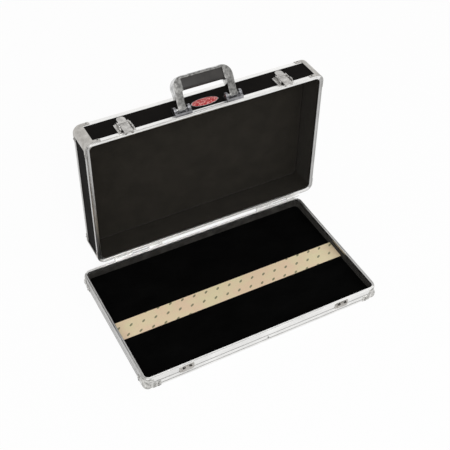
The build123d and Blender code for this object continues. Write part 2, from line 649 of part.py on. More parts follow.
def tray_pieces():
    """Every piece that stays with the tray."""
    pieces = mitred("tray_rail", tray_frame())
    pieces["tray_bottom_panel"] = tray_bottom_panel()
    pieces["tray_wall_lining"] = tray_lining()
    pieces["floor_foam"] = floor_layer(PANEL_TOP + FIT_GAP, FOAM_TOP)
    pieces["floor_velour"] = floor_layer(FOAM_TOP, FLOOR_TOP)
    pieces["hook_strip"] = floor_strip(FLOOR_TOP, STRIP_TOP)
    pieces["strip_liner"] = floor_strip(STRIP_TOP, STRIP_TOP + LINER_THICKNESS)
    pieces["tray_corners"] = Compound([tray_corner(signs) for signs in CORNERS])
    for side in ("left", "right"):
        pieces[f"catch_plate_{side}"] = catch_plate(LATCH_X[side])
        pieces[f"tray_hinge_leaf_{side}"] = tray_hinge_leaf(HINGE_X[side])
        pieces[f"hinge_pin_{side}"] = hinge_pin(HINGE_X[side])
    return pieces


def lid_pieces():
    """Every piece that swings with the lid, drawn closed."""
    pieces = mitred("lid_rim", lid_rim_frame())
    pieces.update(mitred("lid_edge", lid_edge_frame()))
    pieces.update(mitred("lid_wall", lid_wall_boards()))
    pieces["lid_top_panel"] = lid_top_panel()
    pieces["lid_wall_lining"] = lid_wall_lining()
    pieces["lid_top_lining"] = lid_top_lining()
    pieces["lid_corners"] = Compound([lid_corner(signs) for signs in CORNERS])
    for side in ("left", "right"):
        pieces[f"lid_hinge_leaf_{side}"] = lid_hinge_leaf(HINGE_X[side])
        pieces[f"latch_plate_{side}"] = on_front(LATCH_X[side], latch_plate())
        pieces[f"latch_lever_{side}"] = on_front(LATCH_X[side], latch_lever())
        pieces[f"latch_claw_{side}"] = on_front(LATCH_X[side], latch_claw())
        pieces[f"latch_claw_pin_{side}"] = on_front(LATCH_X[side], latch_claw_pin())
        pieces[f"handle_bracket_{side}"] = on_front(HANDLE_X[side], handle_bracket())
        pieces[f"handle_pin_{side}"] = on_front(HANDLE_X[side], handle_pin())
    pieces["handle_bow"] = on_front(0, stand_handle(handle_bow()))
    pieces["handle_grip"] = on_front(0, stand_handle(handle_grip()))
    return pieces


def main():
    """Writes one file for each piece."""
    os.makedirs("parts", exist_ok=True)
    for name, shape in tray_pieces().items():
        export_step(shape, f"parts/{name}.step")
    for name, shape in lid_pieces().items():
        export_step(open_lid(shape), f"parts/{name}.step")


main()
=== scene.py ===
"""Looks of an open guitar pedal case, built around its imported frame.

Each sub-assembly is a class that holds its sizes as fields and dresses its own pieces.
Sizes are in metres. The lid's pieces are drawn closed on the tray, as the case travels,
and LidSpace then turns them to the open pose in which the frame holds the lid.
"""

import json
import logging
import math
from dataclasses import dataclass
from enum import Enum
from typing import Callable, Sequence

import bmesh
import bpy
from mathutils import Matrix, Vector, noise

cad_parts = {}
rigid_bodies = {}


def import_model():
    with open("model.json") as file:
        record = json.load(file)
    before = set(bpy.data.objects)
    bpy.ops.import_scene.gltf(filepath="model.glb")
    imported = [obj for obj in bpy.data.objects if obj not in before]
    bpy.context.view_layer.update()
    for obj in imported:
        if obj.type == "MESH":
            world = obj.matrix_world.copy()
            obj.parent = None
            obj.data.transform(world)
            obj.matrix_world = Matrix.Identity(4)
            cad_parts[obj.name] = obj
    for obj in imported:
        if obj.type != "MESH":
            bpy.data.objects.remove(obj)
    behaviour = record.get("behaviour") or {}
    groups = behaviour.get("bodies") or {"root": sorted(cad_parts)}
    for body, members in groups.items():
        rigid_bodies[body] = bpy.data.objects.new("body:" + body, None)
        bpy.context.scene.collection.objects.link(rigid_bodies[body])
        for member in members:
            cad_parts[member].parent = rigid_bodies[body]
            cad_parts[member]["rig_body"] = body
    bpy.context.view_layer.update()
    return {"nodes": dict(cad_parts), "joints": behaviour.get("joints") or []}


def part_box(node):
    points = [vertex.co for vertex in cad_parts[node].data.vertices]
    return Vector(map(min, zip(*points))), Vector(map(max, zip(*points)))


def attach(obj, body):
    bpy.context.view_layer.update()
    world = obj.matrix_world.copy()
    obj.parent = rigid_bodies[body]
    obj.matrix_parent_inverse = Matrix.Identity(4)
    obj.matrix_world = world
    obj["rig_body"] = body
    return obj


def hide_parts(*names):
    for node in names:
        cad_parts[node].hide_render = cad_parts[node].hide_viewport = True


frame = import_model()

LOG = logging.getLogger("pedal_case")
MM = 0.001
Point = tuple[float, float, float]
Colour = tuple[float, float, float]
Node = bpy.types.Node
Material = bpy.types.Material
Piece = bpy.types.Object
Feed = Node | bpy.types.NodeSocket | float
# Where a Mix node keeps its sockets in colour mode.
MIX_SHARE, MIX_FIRST, MIX_SECOND, MIX_RESULT = 0, 6, 7, 2


class Axis(Enum):
    """The axis that an extruded or brushed surface was drawn along."""

    X = 0
    Y = 1
    Z = 2


# ------------------------------------------------------------------ node sheets
class NodeSheet:
    """A material's node tree, filled by short calls."""

    def __init__(self, name: str) -> None:
        """Starts an empty material.

        Args:
            name: The material's name.
        """
        self.material = bpy.data.materials.new(name)
        self.material.use_nodes = True
        self.tree = self.material.node_tree
        self.tree.nodes.clear()
        self.output = self.tree.nodes.new("ShaderNodeOutputMaterial")
        self.surface = self.tree.nodes.new("ShaderNodeBsdfPrincipled")
        self.link(self.surface, "BSDF", self.output, "Surface")
        self.place = self.tree.nodes.new("ShaderNodeTexCoord")

    def link(self, source: Node, out: str, target: Node, into: str | int) -> None:
        """Links an output socket to an input socket."""
        self.tree.links.new(source.outputs[out], target.inputs[into])

    def shader(self, **values: object) -> None:
        """Sets constants on the principled shader, with spaces written as underscores."""
        for name, value in values.items():
            self.surface.inputs[name.replace("_", " ")].default_value = value

    def stretched(self, scale: Sequence[float], turn: float = 0.0) -> Node:
        """Object coordinates, scaled and turned about Z.

        Args:
            scale: Pattern cells per metre along each axis.
            turn: The turn about Z, in radians.

        Returns:
            The Mapping node.
        """
        mapping = self.tree.nodes.new("ShaderNodeMapping")
        mapping.inputs["Scale"].default_value = scale
        mapping.inputs["Rotation"].default_value = (0.0, 0.0, turn)
        self.link(self.place, "Object", mapping, "Vector")
        return mapping

    def noise(self, scale: Sequence[float] | float, detail: float = 3.0, rough: float = 0.5) -> Node:
        """Adds a noise texture on object coordinates.

        Args:
            scale: Cells per metre, one for all axes or one for each.
            detail: Octaves of detail.
            rough: How strong the finer octaves are.

        Returns:
            The Noise node.
        """
        cells = (scale,) * 3 if isinstance(scale, (int, float)) else scale
        texture = self.tree.nodes.new("ShaderNodeTexNoise")
        texture.inputs["Scale"].default_value = 1.0
        texture.inputs["Detail"].default_value = detail
        texture.inputs["Roughness"].default_value = rough
        self.link(self.stretched(cells), "Vector", texture, "Vector")
        return texture

    def cells(self, scale: float, feature: str = "F1") -> Node:
        """Adds a Voronoi texture on object coordinates.

        Args:
            scale: Cells per metre.
            feature: What the texture measures.

        Returns:
            The Voronoi node.
        """
        texture = self.tree.nodes.new("ShaderNodeTexVoronoi")
        texture.feature = feature
        texture.inputs["Scale"].default_value = 1.0
        self.link(self.stretched((scale,) * 3), "Vector", texture, "Vector")
        return texture

    def ramp(self, source: Node, out: str, stops: Sequence[tuple[float, Sequence[float]]]) -> Node:
        """Maps a value to colours.

        Args:
            source: The node whose value is read.
            out: Its output's name.
            stops: Pairs of place and colour.

        Returns:
            The Color Ramp node.
        """
        node = self.tree.nodes.new("ShaderNodeValToRGB")
        elements = node.color_ramp.elements
        while len(elements) < len(stops):
            elements.new(0.5)
        for element, (place, colour) in zip(elements, stops):
            element.position = place
            element.color = (*colour, 1.0)
        self.link(source, out, node, "Fac")
        return node

    def greys(
        self, source: Node, out: str, low: float, high: float, start: float = 0.3, end: float = 0.7
    ) -> Node:
        """Maps a value to a range of grey, such as for roughness."""
        return self.ramp(source, out, [(start, (low,) * 3), (end, (high,) * 3)])

    def feed(self, value: Feed | Colour, socket: bpy.types.NodeSocket) -> None:
        """Links a node or a socket to an input, or sets the input to a number or a colour.

        Args:
            value: What the input gets. A node gives its first output, or a Mix node its colour.
            socket: The input.
        """
        if isinstance(value, Node):
            value = value.outputs[MIX_RESULT if value.type == "MIX" else 0]
        if isinstance(value, bpy.types.NodeSocket):
            self.tree.links.new(value, socket)
        else:
            socket.default_value = (*value, 1.0) if isinstance(value, tuple) else value

    def mix(
        self, share: Node | float, first: Node | Colour, second: Node | Colour, mode: str = "MIX"
    ) -> Node:
        """Mixes two colours.

        Args:
            share: A node that gives the share of the second, or a number.
            first: A node or a colour.
            second: A node or a colour.
            mode: The blend mode.

        Returns:
            The Mix node.
        """
        node = self.tree.nodes.new("ShaderNodeMix")
        node.data_type = "RGBA"
        node.blend_type = mode
        for value, index in ((share, MIX_SHARE), (first, MIX_FIRST), (second, MIX_SECOND)):
            self.feed(value, node.inputs[index])
        return node

    def maths(self, operation: str, first: Feed, second: Feed = 0.0) -> Node:
        """Adds a Math node.

        Args:
            operation: What it does.
            first: A node, a socket or a number.
            second: A node, a socket or a number.

        Returns:
            The Math node.
        """
        node = self.tree.nodes.new("ShaderNodeMath")
        node.operation = operation
        for value, socket in zip((first, second), node.inputs):
            self.feed(value, socket)
        return node

    def colour(self, source: Node) -> None:
        """Feeds the shader's base colour from a node."""
        self.feed(source, self.surface.inputs["Base Color"])

    def roughness(self, source: Node) -> None:
        """Feeds the shader's roughness from a node."""
        self.feed(source, self.surface.inputs["Roughness"])

    def bump(
        self, source: Node, out: str, height: float, strength: float, under: Node | None = None
    ) -> Node:
        """Adds a bump, on top of another where one is given.

        Args:
            source: The node that gives the height.
            out: Its output's name.
            height: The relief's full height in metres.
            strength: The bump's strength.
            under: A Bump node that lies under this one.

        Returns:
            The Bump node, which feeds the shader's normal.
        """
        node = self.tree.nodes.new("ShaderNodeBump")
        node.inputs["Distance"].default_value = height
        node.inputs["Strength"].default_value = strength
        self.link(source, out, node, "Height")
        if under is not None:
            self.link(under, "Normal", node, "Normal")
        self.link(node, "Normal", self.surface, "Normal")
        return node


# ------------------------------------------------------------------ finishes
@dataclass(frozen=True)
class MetalFinish:
    """A bare, plated or extruded metal."""

    name: str
    dark: Colour
    light: Colour
    smooth: float = 0.22
    rough: float = 0.42
    grain_axis: Axis | None = None
    grain: float = 900.0
    stretch: float = 0.02
    relief: float = 0.02 * MM
    blotch: float = 18.0
    streak_shade: float = 0.82

    def build(self) -> Material:
        """Builds the metal with its grain or drawing lines, and its blotches.

        Returns:
            The material.
        """
        sheet = NodeSheet(self.name)
        scale = [self.grain] * 3
        if self.grain_axis is not None:
            scale[self.grain_axis.value] *= self.stretch
        lines = sheet.noise(scale, detail=4.0, rough=0.6)
        clouds = sheet.noise(self.blotch, rough=0.55)
        tone = sheet.ramp(clouds, "Fac", [(0.30, self.dark), (0.68, self.light)])
        streak = sheet.greys(lines, "Fac", low=self.streak_shade, high=1.0, start=0.32, end=0.62)
        sheet.colour(sheet.mix(1.0, tone, streak, "MULTIPLY"))
        sheet.roughness(sheet.greys(lines, "Fac", self.smooth, self.rough))
        sheet.bump(lines, "Fac", self.relief, strength=0.6)
        sheet.shader(Metallic=1.0)
        return sheet.material


@dataclass(frozen=True)
class LaminateFinish:
    """Thin black sheet with a pebbled face, bonded to the wall boards."""

    name: str
    dark: Colour = (0.0050, 0.0044, 0.0040)
    light: Colour = (0.0110, 0.0099, 0.0088)
    pebble: float = 1100.0
    cloud: float = 14.0
    pebble_relief: float = 0.05 * MM
    cloud_relief: float = 0.15 * MM

    def build(self) -> Material:
        """Builds the laminate with its pebbles and faint clouds of wear.

        Returns:
            The material.
        """
        sheet = NodeSheet(self.name)
        pebbles = sheet.cells(self.pebble, "SMOOTH_F1")
        clouds = sheet.noise(self.cloud, detail=4.0, rough=0.6)
        sheet.colour(sheet.ramp(clouds, "Fac", [(0.35, self.dark), (0.75, self.light)]))
        sheet.roughness(sheet.greys(clouds, "Fac", low=0.58, high=0.74))
        soft = sheet.bump(clouds, "Fac", self.cloud_relief, strength=0.3)
        sheet.bump(pebbles, "Distance", self.pebble_relief, strength=0.7, under=soft)
        sheet.shader(Specular_IOR_Level=0.02)
        return sheet.material


@dataclass(frozen=True)
class PileFinish:
    """A napped cloth: velour, or the lining's short pile."""

    name: str
    dark: Colour
    light: Colour
    sheen: float = 0.25
    sheen_tint: Colour = (0.5, 0.47, 0.43)
    fibre: float = 2600.0
    nap: float = 26.0
    nap_stretch: float = 1.7
    fibre_relief: float = 0.35 * MM
    nap_relief: float = 0.6 * MM
    gloss: float = 0.15

    def build(self) -> Material:
        """Builds the cloth with its fibres and brushed patches.

        Returns:
            The material.
        """
        sheet = NodeSheet(self.name)
        fibres = sheet.noise(self.fibre, rough=0.7)
        patches = sheet.noise((self.nap, self.nap * self.nap_stretch, self.nap), detail=4.0, rough=0.6)
        nap = sheet.ramp(patches, "Fac", [(0.34, self.dark), (0.70, self.light)])
        shade = sheet.greys(fibres, "Fac", low=0.45, high=1.0, start=0.34, end=0.66)
        sheet.colour(sheet.mix(1.0, nap, shade, "MULTIPLY"))
        brushed = sheet.bump(patches, "Fac", self.nap_relief, strength=0.35)
        sheet.bump(fibres, "Fac", self.fibre_relief, strength=0.9, under=brushed)
        sheet.shader(Roughness=0.95, Sheen_Weight=self.sheen, Sheen_Roughness=0.45)
        sheet.shader(Sheen_Tint=(*self.sheen_tint, 1.0), Specular_IOR_Level=self.gloss)
        return sheet.material


@dataclass(frozen=True)
class PaperFinish:
    """Waxed release paper, printed with rows of short slanted dashes."""

    name: str
    pale: Colour = (0.90, 0.78, 0.50)
    warm: Colour = (0.93, 0.71, 0.49)
    print_colour: Colour = (0.16, 0.17, 0.085)
    pitch: float = 28.65 * MM
    row_gap: float = 23.4 * MM
    row_tilt: float = math.radians(4.0)
    row_start: Point = (-1.0 * MM, -12.5 * MM, 0.0)
    dash_length: float = 13.0 * MM
    dash_width: float = 6.0 * MM
    dash_slant: float = math.radians(38.0)
    ink: float = 0.86
    wear: float = 0.8
    speckle: float = 900.0
    patch: float = 22.0
    fibre: Point = (500.0, 1400.0, 500.0)
    patch_relief: float = 0.8 * MM
    fibre_relief: float = 0.03 * MM

    def dashes(self, sheet: NodeSheet) -> Node:
        """The share of ink at a point, from 0 to 1.

        Args:
            sheet: The node sheet that the pattern is added to.

        Returns:
            The node whose first output is the share.
        """
        turned = sheet.stretched((1.0, 1.0, 1.0), self.row_tilt)
        turned.inputs["Location"].default_value = self.row_start
        split = sheet.tree.nodes.new("ShaderNodeSeparateXYZ")
        sheet.link(turned, "Vector", split, "Vector")
        row = sheet.maths("DIVIDE", split.outputs["Y"], self.row_gap)
        row_number = sheet.maths("FLOOR", row)
        across = sheet.maths("SUBTRACT", sheet.maths("SUBTRACT", row, row_number), 0.5)
        across = sheet.maths("MULTIPLY", across, self.row_gap)
        shift = sheet.maths("MULTIPLY", row_number, 0.5)
        step = sheet.maths("ADD", sheet.maths("DIVIDE", split.outputs["X"], self.pitch), shift)
        along = sheet.maths("SUBTRACT", sheet.maths("FRACT", step), 0.5)
        along = sheet.maths("MULTIPLY", along, self.pitch)
        cos, sin = math.cos(self.dash_slant), math.sin(self.dash_slant)

        def reach(first: Node, share: float, second: Node, other: float, size: float) -> Node:
            """Squares a distance from the dash's middle, along a slanted line.

            Args:
                first: The distance along the first axis.
                share: How much of it counts along the line.
                second: The distance along the second axis.
                other: How much of that counts.
                size: The dash's size along the line.

            Returns:
                The Math node with the square, in half sizes of the dash.
            """
            slanted = sheet.maths("MULTIPLY", first, share)
            slanted = sheet.maths("ADD", slanted, sheet.maths("MULTIPLY", second, other))
            halves = sheet.maths("DIVIDE", sheet.maths("ABSOLUTE", slanted), size / 2)
            return sheet.maths("POWER", halves, 2.0)

        lengthways = reach(along, cos, across, sin, self.dash_length)
        widthways = reach(across, cos, along, -sin, self.dash_width)
        worn = sheet.maths("MULTIPLY", sheet.noise(self.speckle, rough=0.6), self.wear)
        ragged = sheet.maths("ADD", sheet.maths("ADD", lengthways, widthways), worn)
        return sheet.greys(ragged, "Value", low=self.ink, high=0.0, start=0.95, end=1.0)

    def build(self) -> Material:
        """Builds the paper with its waxy sheen, warm patches, fibres and printed dashes.

        Returns:
            The material.
        """
        sheet = NodeSheet(self.name)
        patches = sheet.noise(self.patch)
        fibres = sheet.noise(self.fibre, detail=4.0, rough=0.6)
        paper = sheet.ramp(patches, "Fac", [(0.38, self.pale), (0.62, self.warm)])
        flecked = sheet.mix(1.0, paper, sheet.greys(fibres, "Fac", low=0.88, high=1.0), "MULTIPLY")
        sheet.colour(sheet.mix(self.dashes(sheet), flecked, self.print_colour))
        sheet.roughness(sheet.greys(fibres, "Fac", low=0.38, high=0.55))
        cockle = sheet.bump(patches, "Fac", self.patch_relief, strength=0.25)
        sheet.bump(fibres, "Fac", self.fibre_relief, strength=0.5, under=cockle)
        return sheet.material


@dataclass(frozen=True)
class VinylFinish:
    """Moulded vinyl: the grip's leather grain, or the fine hooks of the tape."""

    name: str
    dark: Colour = (0.016, 0.015, 0.014)
    light: Colour = (0.036, 0.033, 0.030)
    grain: float = 620.0
    cloud: float = 40.0
    relief: float = 0.18 * MM

    def build(self) -> Material:
        """Builds the vinyl with its creases and the shine of handling.

        Returns:
            The material.
        """
        sheet = NodeSheet(self.name)
        creases = sheet.cells(self.grain, "DISTANCE_TO_EDGE")
        clouds = sheet.noise(self.cloud)
        sheet.colour(sheet.ramp(clouds, "Fac", [(0.35, self.dark), (0.7, self.light)]))
        sheet.roughness(sheet.greys(clouds, "Fac", low=0.38, high=0.55))
        sheet.bump(creases, "Distance", self.relief, strength=0.6)
        sheet.shader(Specular_IOR_Level=0.32)
        return sheet.material


@dataclass(frozen=True)
class EnamelFinish:
    """Coloured resin poured into a badge."""

    name: str
    deep: Colour = (0.56, 0.026, 0.030)
    bright: Colour = (0.96, 0.50, 0.47)
    flake: float = 480.0
    cloud: float = 60.0
    relief: float = 0.05 * MM

    def build(self) -> Material:
        """Builds the resin with the metal flake in it.

        Returns:
            The material.
        """
        sheet = NodeSheet(self.name)
        base = sheet.ramp(sheet.cells(self.flake), "Color", [(0.48, self.deep), (0.86, self.bright)])
        clouds = sheet.noise(self.cloud)
        sheet.colour(sheet.mix(1.0, base, sheet.greys(clouds, "Fac", low=0.85, high=1.0), "MULTIPLY"))
        sheet.roughness(sheet.greys(clouds, "Fac", low=0.45, high=0.60))
        sheet.bump(clouds, "Fac", self.relief, strength=0.3)
        sheet.shader(Specular_IOR_Level=0.25)
        return sheet.material


@dataclass(frozen=True)
class FoamFinish:
    """Closed-cell foam, seen only at the edge of the cloth over it."""

    name: str
    dark: Colour = (0.010, 0.010, 0.010)
    light: Colour = (0.024, 0.023, 0.022)
    pore: float = 1500.0
    relief: float = 0.4 * MM

    def build(self) -> Material:
        """Builds the foam with its fine cells.

        Returns:
            The material.
        """
        sheet = NodeSheet(self.name)
        pores = sheet.cells(self.pore)
        sheet.colour(sheet.ramp(pores, "Distance", [(0.15, self.dark), (0.6, self.light)]))
        sheet.bump(pores, "Distance", self.relief, strength=0.8)
        sheet.shader(Roughness=0.95)
        return sheet.material


@dataclass(frozen=True)
class FloorFinish:
    """The pale table, near white to the camera and in reflections, with a soft shadow."""

    name: str
    glow: float = 0.95
    paint: Colour = (0.86, 0.86, 0.86)

    def build(self) -> Material:
        """Builds the table, whose glow reaches only the camera, reflections and clear things.

        Returns:
            The material.
        """
        sheet = NodeSheet(self.name)
        nodes = sheet.tree.nodes
        sheet.shader(Base_Color=(*self.paint, 1.0), Roughness=0.9, Specular_IOR_Level=0.1)
        light_path = nodes.new("ShaderNodeLightPath")
        rays = light_path.outputs
        seen = sheet.maths("ADD", rays["Is Camera Ray"], rays["Is Glossy Ray"])
        seen = sheet.maths("ADD", seen, rays["Is Transmission Ray"])
        seen = sheet.maths("MULTIPLY", sheet.maths("MINIMUM", seen, 1.0), self.glow)
        glow = nodes.new("ShaderNodeEmission")
        mixer = nodes.new("ShaderNodeMixShader")
        sheet.link(seen, "Value", mixer, 0)
        sheet.link(sheet.surface, "BSDF", mixer, 1)
        sheet.link(glow, "Emission", mixer, 2)
        sheet.link(mixer, "Shader", sheet.output, "Surface")
        return sheet.material


class Finishes:
    """Every finish of the case, built once."""

    def __init__(self) -> None:
        """Builds the materials."""
        silver, bright = (0.84, 0.835, 0.82), (0.97, 0.965, 0.95)
        # The copies along Y and Z are darker than the same aluminium along X: painted shade for the
        # side-facing rails and frames.
        painted_shade_silver, painted_shade_light = (0.45, 0.445, 0.435), (0.57, 0.565, 0.555)
        self.rail = {
            Axis.X: MetalFinish("aluminium_along_x", silver, bright, grain_axis=Axis.X).build(),
            Axis.Y: MetalFinish("aluminium_along_y", painted_shade_silver, painted_shade_light, grain_axis=Axis.Y).build(),
            Axis.Z: MetalFinish("aluminium_along_z", painted_shade_silver, painted_shade_light, grain_axis=Axis.Z).build(),
        }
        self.guard = MetalFinish(
            "dull_nickel", (0.42, 0.405, 0.38), (0.62, 0.60, 0.57),
            smooth=0.28, rough=0.48, grain=700.0, blotch=70.0,
        ).build()
        # Strongly mottled steel for the tray's corners: its light and dark blotches are partly the
        # steel's own tone and partly painted highlights and dark reflections.
        self.pressed = MetalFinish(
            "pressed_steel", (0.26, 0.255, 0.24), (0.86, 0.85, 0.82),
            smooth=0.14, rough=0.32, grain=700.0, blotch=150.0,
        ).build()
        self.plated = MetalFinish(
            "plated_steel", (0.36, 0.35, 0.335), (0.66, 0.645, 0.62),
            smooth=0.22, rough=0.40, grain=420.0, blotch=110.0,
        ).build()
        self.zinc = MetalFinish(
            "hinge_zinc", (0.72, 0.715, 0.70), (0.88, 0.875, 0.86),
            smooth=0.22, rough=0.40, grain=500.0, blotch=60.0,
        ).build()
        self.bracket = MetalFinish(
            "bracket_zinc", (0.19, 0.19, 0.20), (0.38, 0.38, 0.40),
            smooth=0.26, rough=0.42, grain=420.0, blotch=110.0,
        ).build()
        self.chrome = MetalFinish(
            "polished_chrome", (0.48, 0.48, 0.47), (0.70, 0.70, 0.69),
            smooth=0.06, rough=0.16, grain=160.0, blotch=50.0,
        ).build()
        # The bow's band: blotches from near black to near white, painted reflections of a dark and bright
        # room on its chrome.
        self.band = MetalFinish(
            "polished_band", (0.10, 0.10, 0.10), (0.88, 0.88, 0.87),
            smooth=0.06, rough=0.18, grain=160.0, blotch=42.0,
        ).build()
        # The bow's faces that look along its lean: darker, mottled chrome, painted shade and dark
        # reflections.
        self.cast = MetalFinish(
            "cast_face", (0.09, 0.09, 0.086), (0.31, 0.306, 0.295),
            smooth=0.30, rough=0.48, blotch=160.0, relief=0.08 * MM,
        ).build()
        # Dark material for the broken edges of fittings: painted shade, drawn as dark outlines at their
        # edges and the gaps between parts.
        self.shade_at_edges = MetalFinish(
            "grimed_edge", (0.10, 0.10, 0.095), (0.30, 0.29, 0.28),
            smooth=0.35, rough=0.55, grain=700.0, blotch=120.0,
        ).build()
        # Darker aluminium for the faces inside the rails' grooves: painted shade in the grooves.
        self.groove = MetalFinish(
            "dulled_groove", (0.38, 0.38, 0.37), (0.56, 0.56, 0.55),
            smooth=0.40, rough=0.60, grain=700.0, blotch=30.0,
        ).build()
        # Near-black metal for the rivets' pins: painted shade for the rivets' hollow middles, on a real
        # pin.
        self.shade_on_pins = MetalFinish(
            "mandrel_steel", (0.010, 0.010, 0.010), (0.045, 0.043, 0.040),
            smooth=0.45, rough=0.65, blotch=300.0,
        ).build()
        self.laminate = LaminateFinish("black_laminate").build()
        self.lid_lining = PileFinish(
            "lid_lining", (0.0190, 0.0164, 0.0124), (0.0275, 0.0238, 0.0182)
        ).build()
        self.tray_lining = PileFinish(
            "tray_lining", (0.018, 0.017, 0.0155), (0.070, 0.066, 0.060), fibre=1100.0, nap=40.0
        ).build()
        self.velour = PileFinish(
            "velour", (0.0010, 0.0010, 0.0010), (0.0030, 0.0030, 0.0029), sheen=0.0, nap=14.0, gloss=0.03
        ).build()
        self.foam = FoamFinish("foam").build()
        self.hook = VinylFinish(
            "hook_tape", (0.006, 0.006, 0.006), (0.014, 0.014, 0.014), grain=1800.0
        ).build()
        self.paper = PaperFinish("release_paper").build()
        self.grip = VinylFinish("grip_vinyl").build()
        self.badge = EnamelFinish("badge_enamel").build()
        self.table = FloorFinish("table").build()


# ------------------------------------------------------------------ geometry
# How near two points merge, in drawn pieces and in the frame's own.
MERGE_DRAWN = 1e-7
MERGE_CAD = 2e-6
# The angle up to which the frame's triangles count as one flat face.
FLAT_ANGLE = math.radians(0.6)
MIN_ARC_STEPS = 4
CORNER_RADIUS = 18.0 * MM
Section = list[tuple[float, float]]


class LidSpace:
    """Turns points of the closed lid into the frame's open pose, and back."""

    def __init__(self) -> None:
        """Reads the hinge and the slide from the frame."""
        joints = {joint["name"]: joint for joint in frame["joints"]}
        hinge, slide = joints["lid_hinge"], joints["lid_slide"]
        pivot = Vector(hinge["pos_m"])
        turn = Matrix.Rotation(math.radians(hinge["range_deg"][0]), 4, "X")
        home = Vector((-slide["range_m"][0], 0.0, 0.0))
        self.matrix = Matrix.Translation(pivot + home) @ turn @ Matrix.Translation(-pivot)

    def open(self, piece: Piece) -> None:
        """Turns a piece drawn closed to the open pose."""
        piece.data.transform(self.matrix)
        piece.data.update()

    def box(self, *nodes: str) -> tuple[Vector, Vector]:
        """The closed box round some of the lid's nodes.

        Args:
            nodes: Names of nodes that ride on the lid.

        Returns:
            The lowest and highest corners in the closed pose.
        """
        back = self.matrix.inverted()
        corners = [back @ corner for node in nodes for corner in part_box(node)]
        low = Vector([min(corner[i] for corner in corners) for i in range(3)])
        high = Vector([max(corner[i] for corner in corners) for i in range(3)])
        return low, high


def new_piece(
    name: str, points: Sequence[Sequence[float]], faces: Sequence[Sequence[int]], material: Material
) -> Piece:
    """Makes a mesh piece at the origin.

    Args:
        name: The piece's name.
        points: Its vertices.
        faces: Vertex indices of each face.
        material: Its finish.

    Returns:
        The piece, linked to the scene and shaded smooth.
    """
    mesh = bpy.data.meshes.new(name)
    mesh.from_pydata([tuple(point) for point in points], [], [tuple(face) for face in faces])
    mesh.validate()
    mesh.shade_smooth()
    mesh.materials.append(material)
    piece = bpy.data.objects.new(name, mesh)
    bpy.context.scene.collection.objects.link(piece)
    return piece


def outward(piece: Piece, sharp: float) -> Piece:
    """Merges doubles, turns a closed mesh's faces outwards and keeps its sharp edges.

    Args:
        piece: The piece.
        sharp: The least angle between faces at a sharp edge, in degrees.

    Returns:
        The same piece.
    """
    sheet = bmesh.new()
    sheet.from_mesh(piece.data)
    bmesh.ops.remove_doubles(sheet, verts=sheet.verts, dist=MERGE_DRAWN)
    bmesh.ops.recalc_face_normals(sheet, faces=sheet.faces)
    sheet.to_mesh(piece.data)
    sheet.free()
    piece.data.set_sharp_from_angle(angle=math.radians(sharp))
    return piece


def baked(piece: Piece) -> None:
    """Turns a piece with modifiers into a plain mesh.

    Args:
        piece: The piece, whose modifiers are removed.
    """
    evaluated = piece.evaluated_get(bpy.context.evaluated_depsgraph_get())
    mesh = bpy.data.meshes.new_from_object(evaluated)
    piece.modifiers.clear()
    old = piece.data
    piece.data = mesh
    mesh.name = piece.name
    bpy.data.meshes.remove(old)


def stand_in(piece: Piece, body: str, node: str) -> Piece:
    """Lets a finished piece stand for a CAD node.

    Args:
        piece: The piece.
        body: The body that it rides on.
        node: The node that it replaces.

    Returns:
        The same piece.
    """
    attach(piece, body)
    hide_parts(node)
    return piece


@dataclass(frozen=True)
class EdgeBreak:
    """How a rigid piece's sharp edges are broken."""

    width: float
    segments: int = 2
    steepest: float = 32.0

    def apply(self, node: str, material: Material, slot: str, edge: Material | None = None) -> Piece:
        """Makes a copy of a rigid node with broken edges, which stands for it.

        Args:
            node: The node's name.
            material: The copy's finish.
            slot: The record's material slot; not used.
            edge: The material of its broken edges, where they differ, such as the painted shade at the
                fittings' edges.

        Returns:
            The copy, riding on the node's body.
        """
        source = frame["nodes"][node]
        piece = bpy.data.objects.new(f"{node}_finished", source.data.copy())
        bpy.context.scene.collection.objects.link(piece)
        if "custom_normal" in piece.data.attributes:
            piece.data.attributes.remove(piece.data.attributes["custom_normal"])
        sheet = bmesh.new()
        sheet.from_mesh(piece.data)
        bmesh.ops.remove_doubles(sheet, verts=sheet.verts, dist=MERGE_CAD)
        bmesh.ops.dissolve_limit(
            sheet, angle_limit=FLAT_ANGLE, verts=sheet.verts, edges=sheet.edges,
            use_dissolve_boundaries=False,
        )
        sheet.to_mesh(piece.data)
        sheet.free()
        piece.data.materials.clear()
        piece.data.materials.append(material)
        bevel = piece.modifiers.new("edge_break", "BEVEL")
        if edge is not None:
            bevel.material = len(piece.data.materials)
            piece.data.materials.append(edge)
        bevel.width = self.width
        bevel.segments = self.segments
        bevel.limit_method = "ANGLE"
        bevel.angle_limit = math.radians(self.steepest)
        bevel.use_clamp_overlap = True
        bevel.miter_outer = "MITER_ARC"
        baked(piece)
        piece.data.shade_smooth()
        piece.data.set_sharp_from_angle(angle=math.radians(self.steepest))
        return stand_in(piece, source["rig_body"], node)


def dress(nodes: Sequence[str], material: Material) -> None:
    """Gives CAD nodes that stay as they are a finish.

    Args:
        nodes: Their names.
        material: The finish.
    """
    for node in nodes:
        mesh = frame["nodes"][node].data
        mesh.materials.clear()
        mesh.materials.append(material)


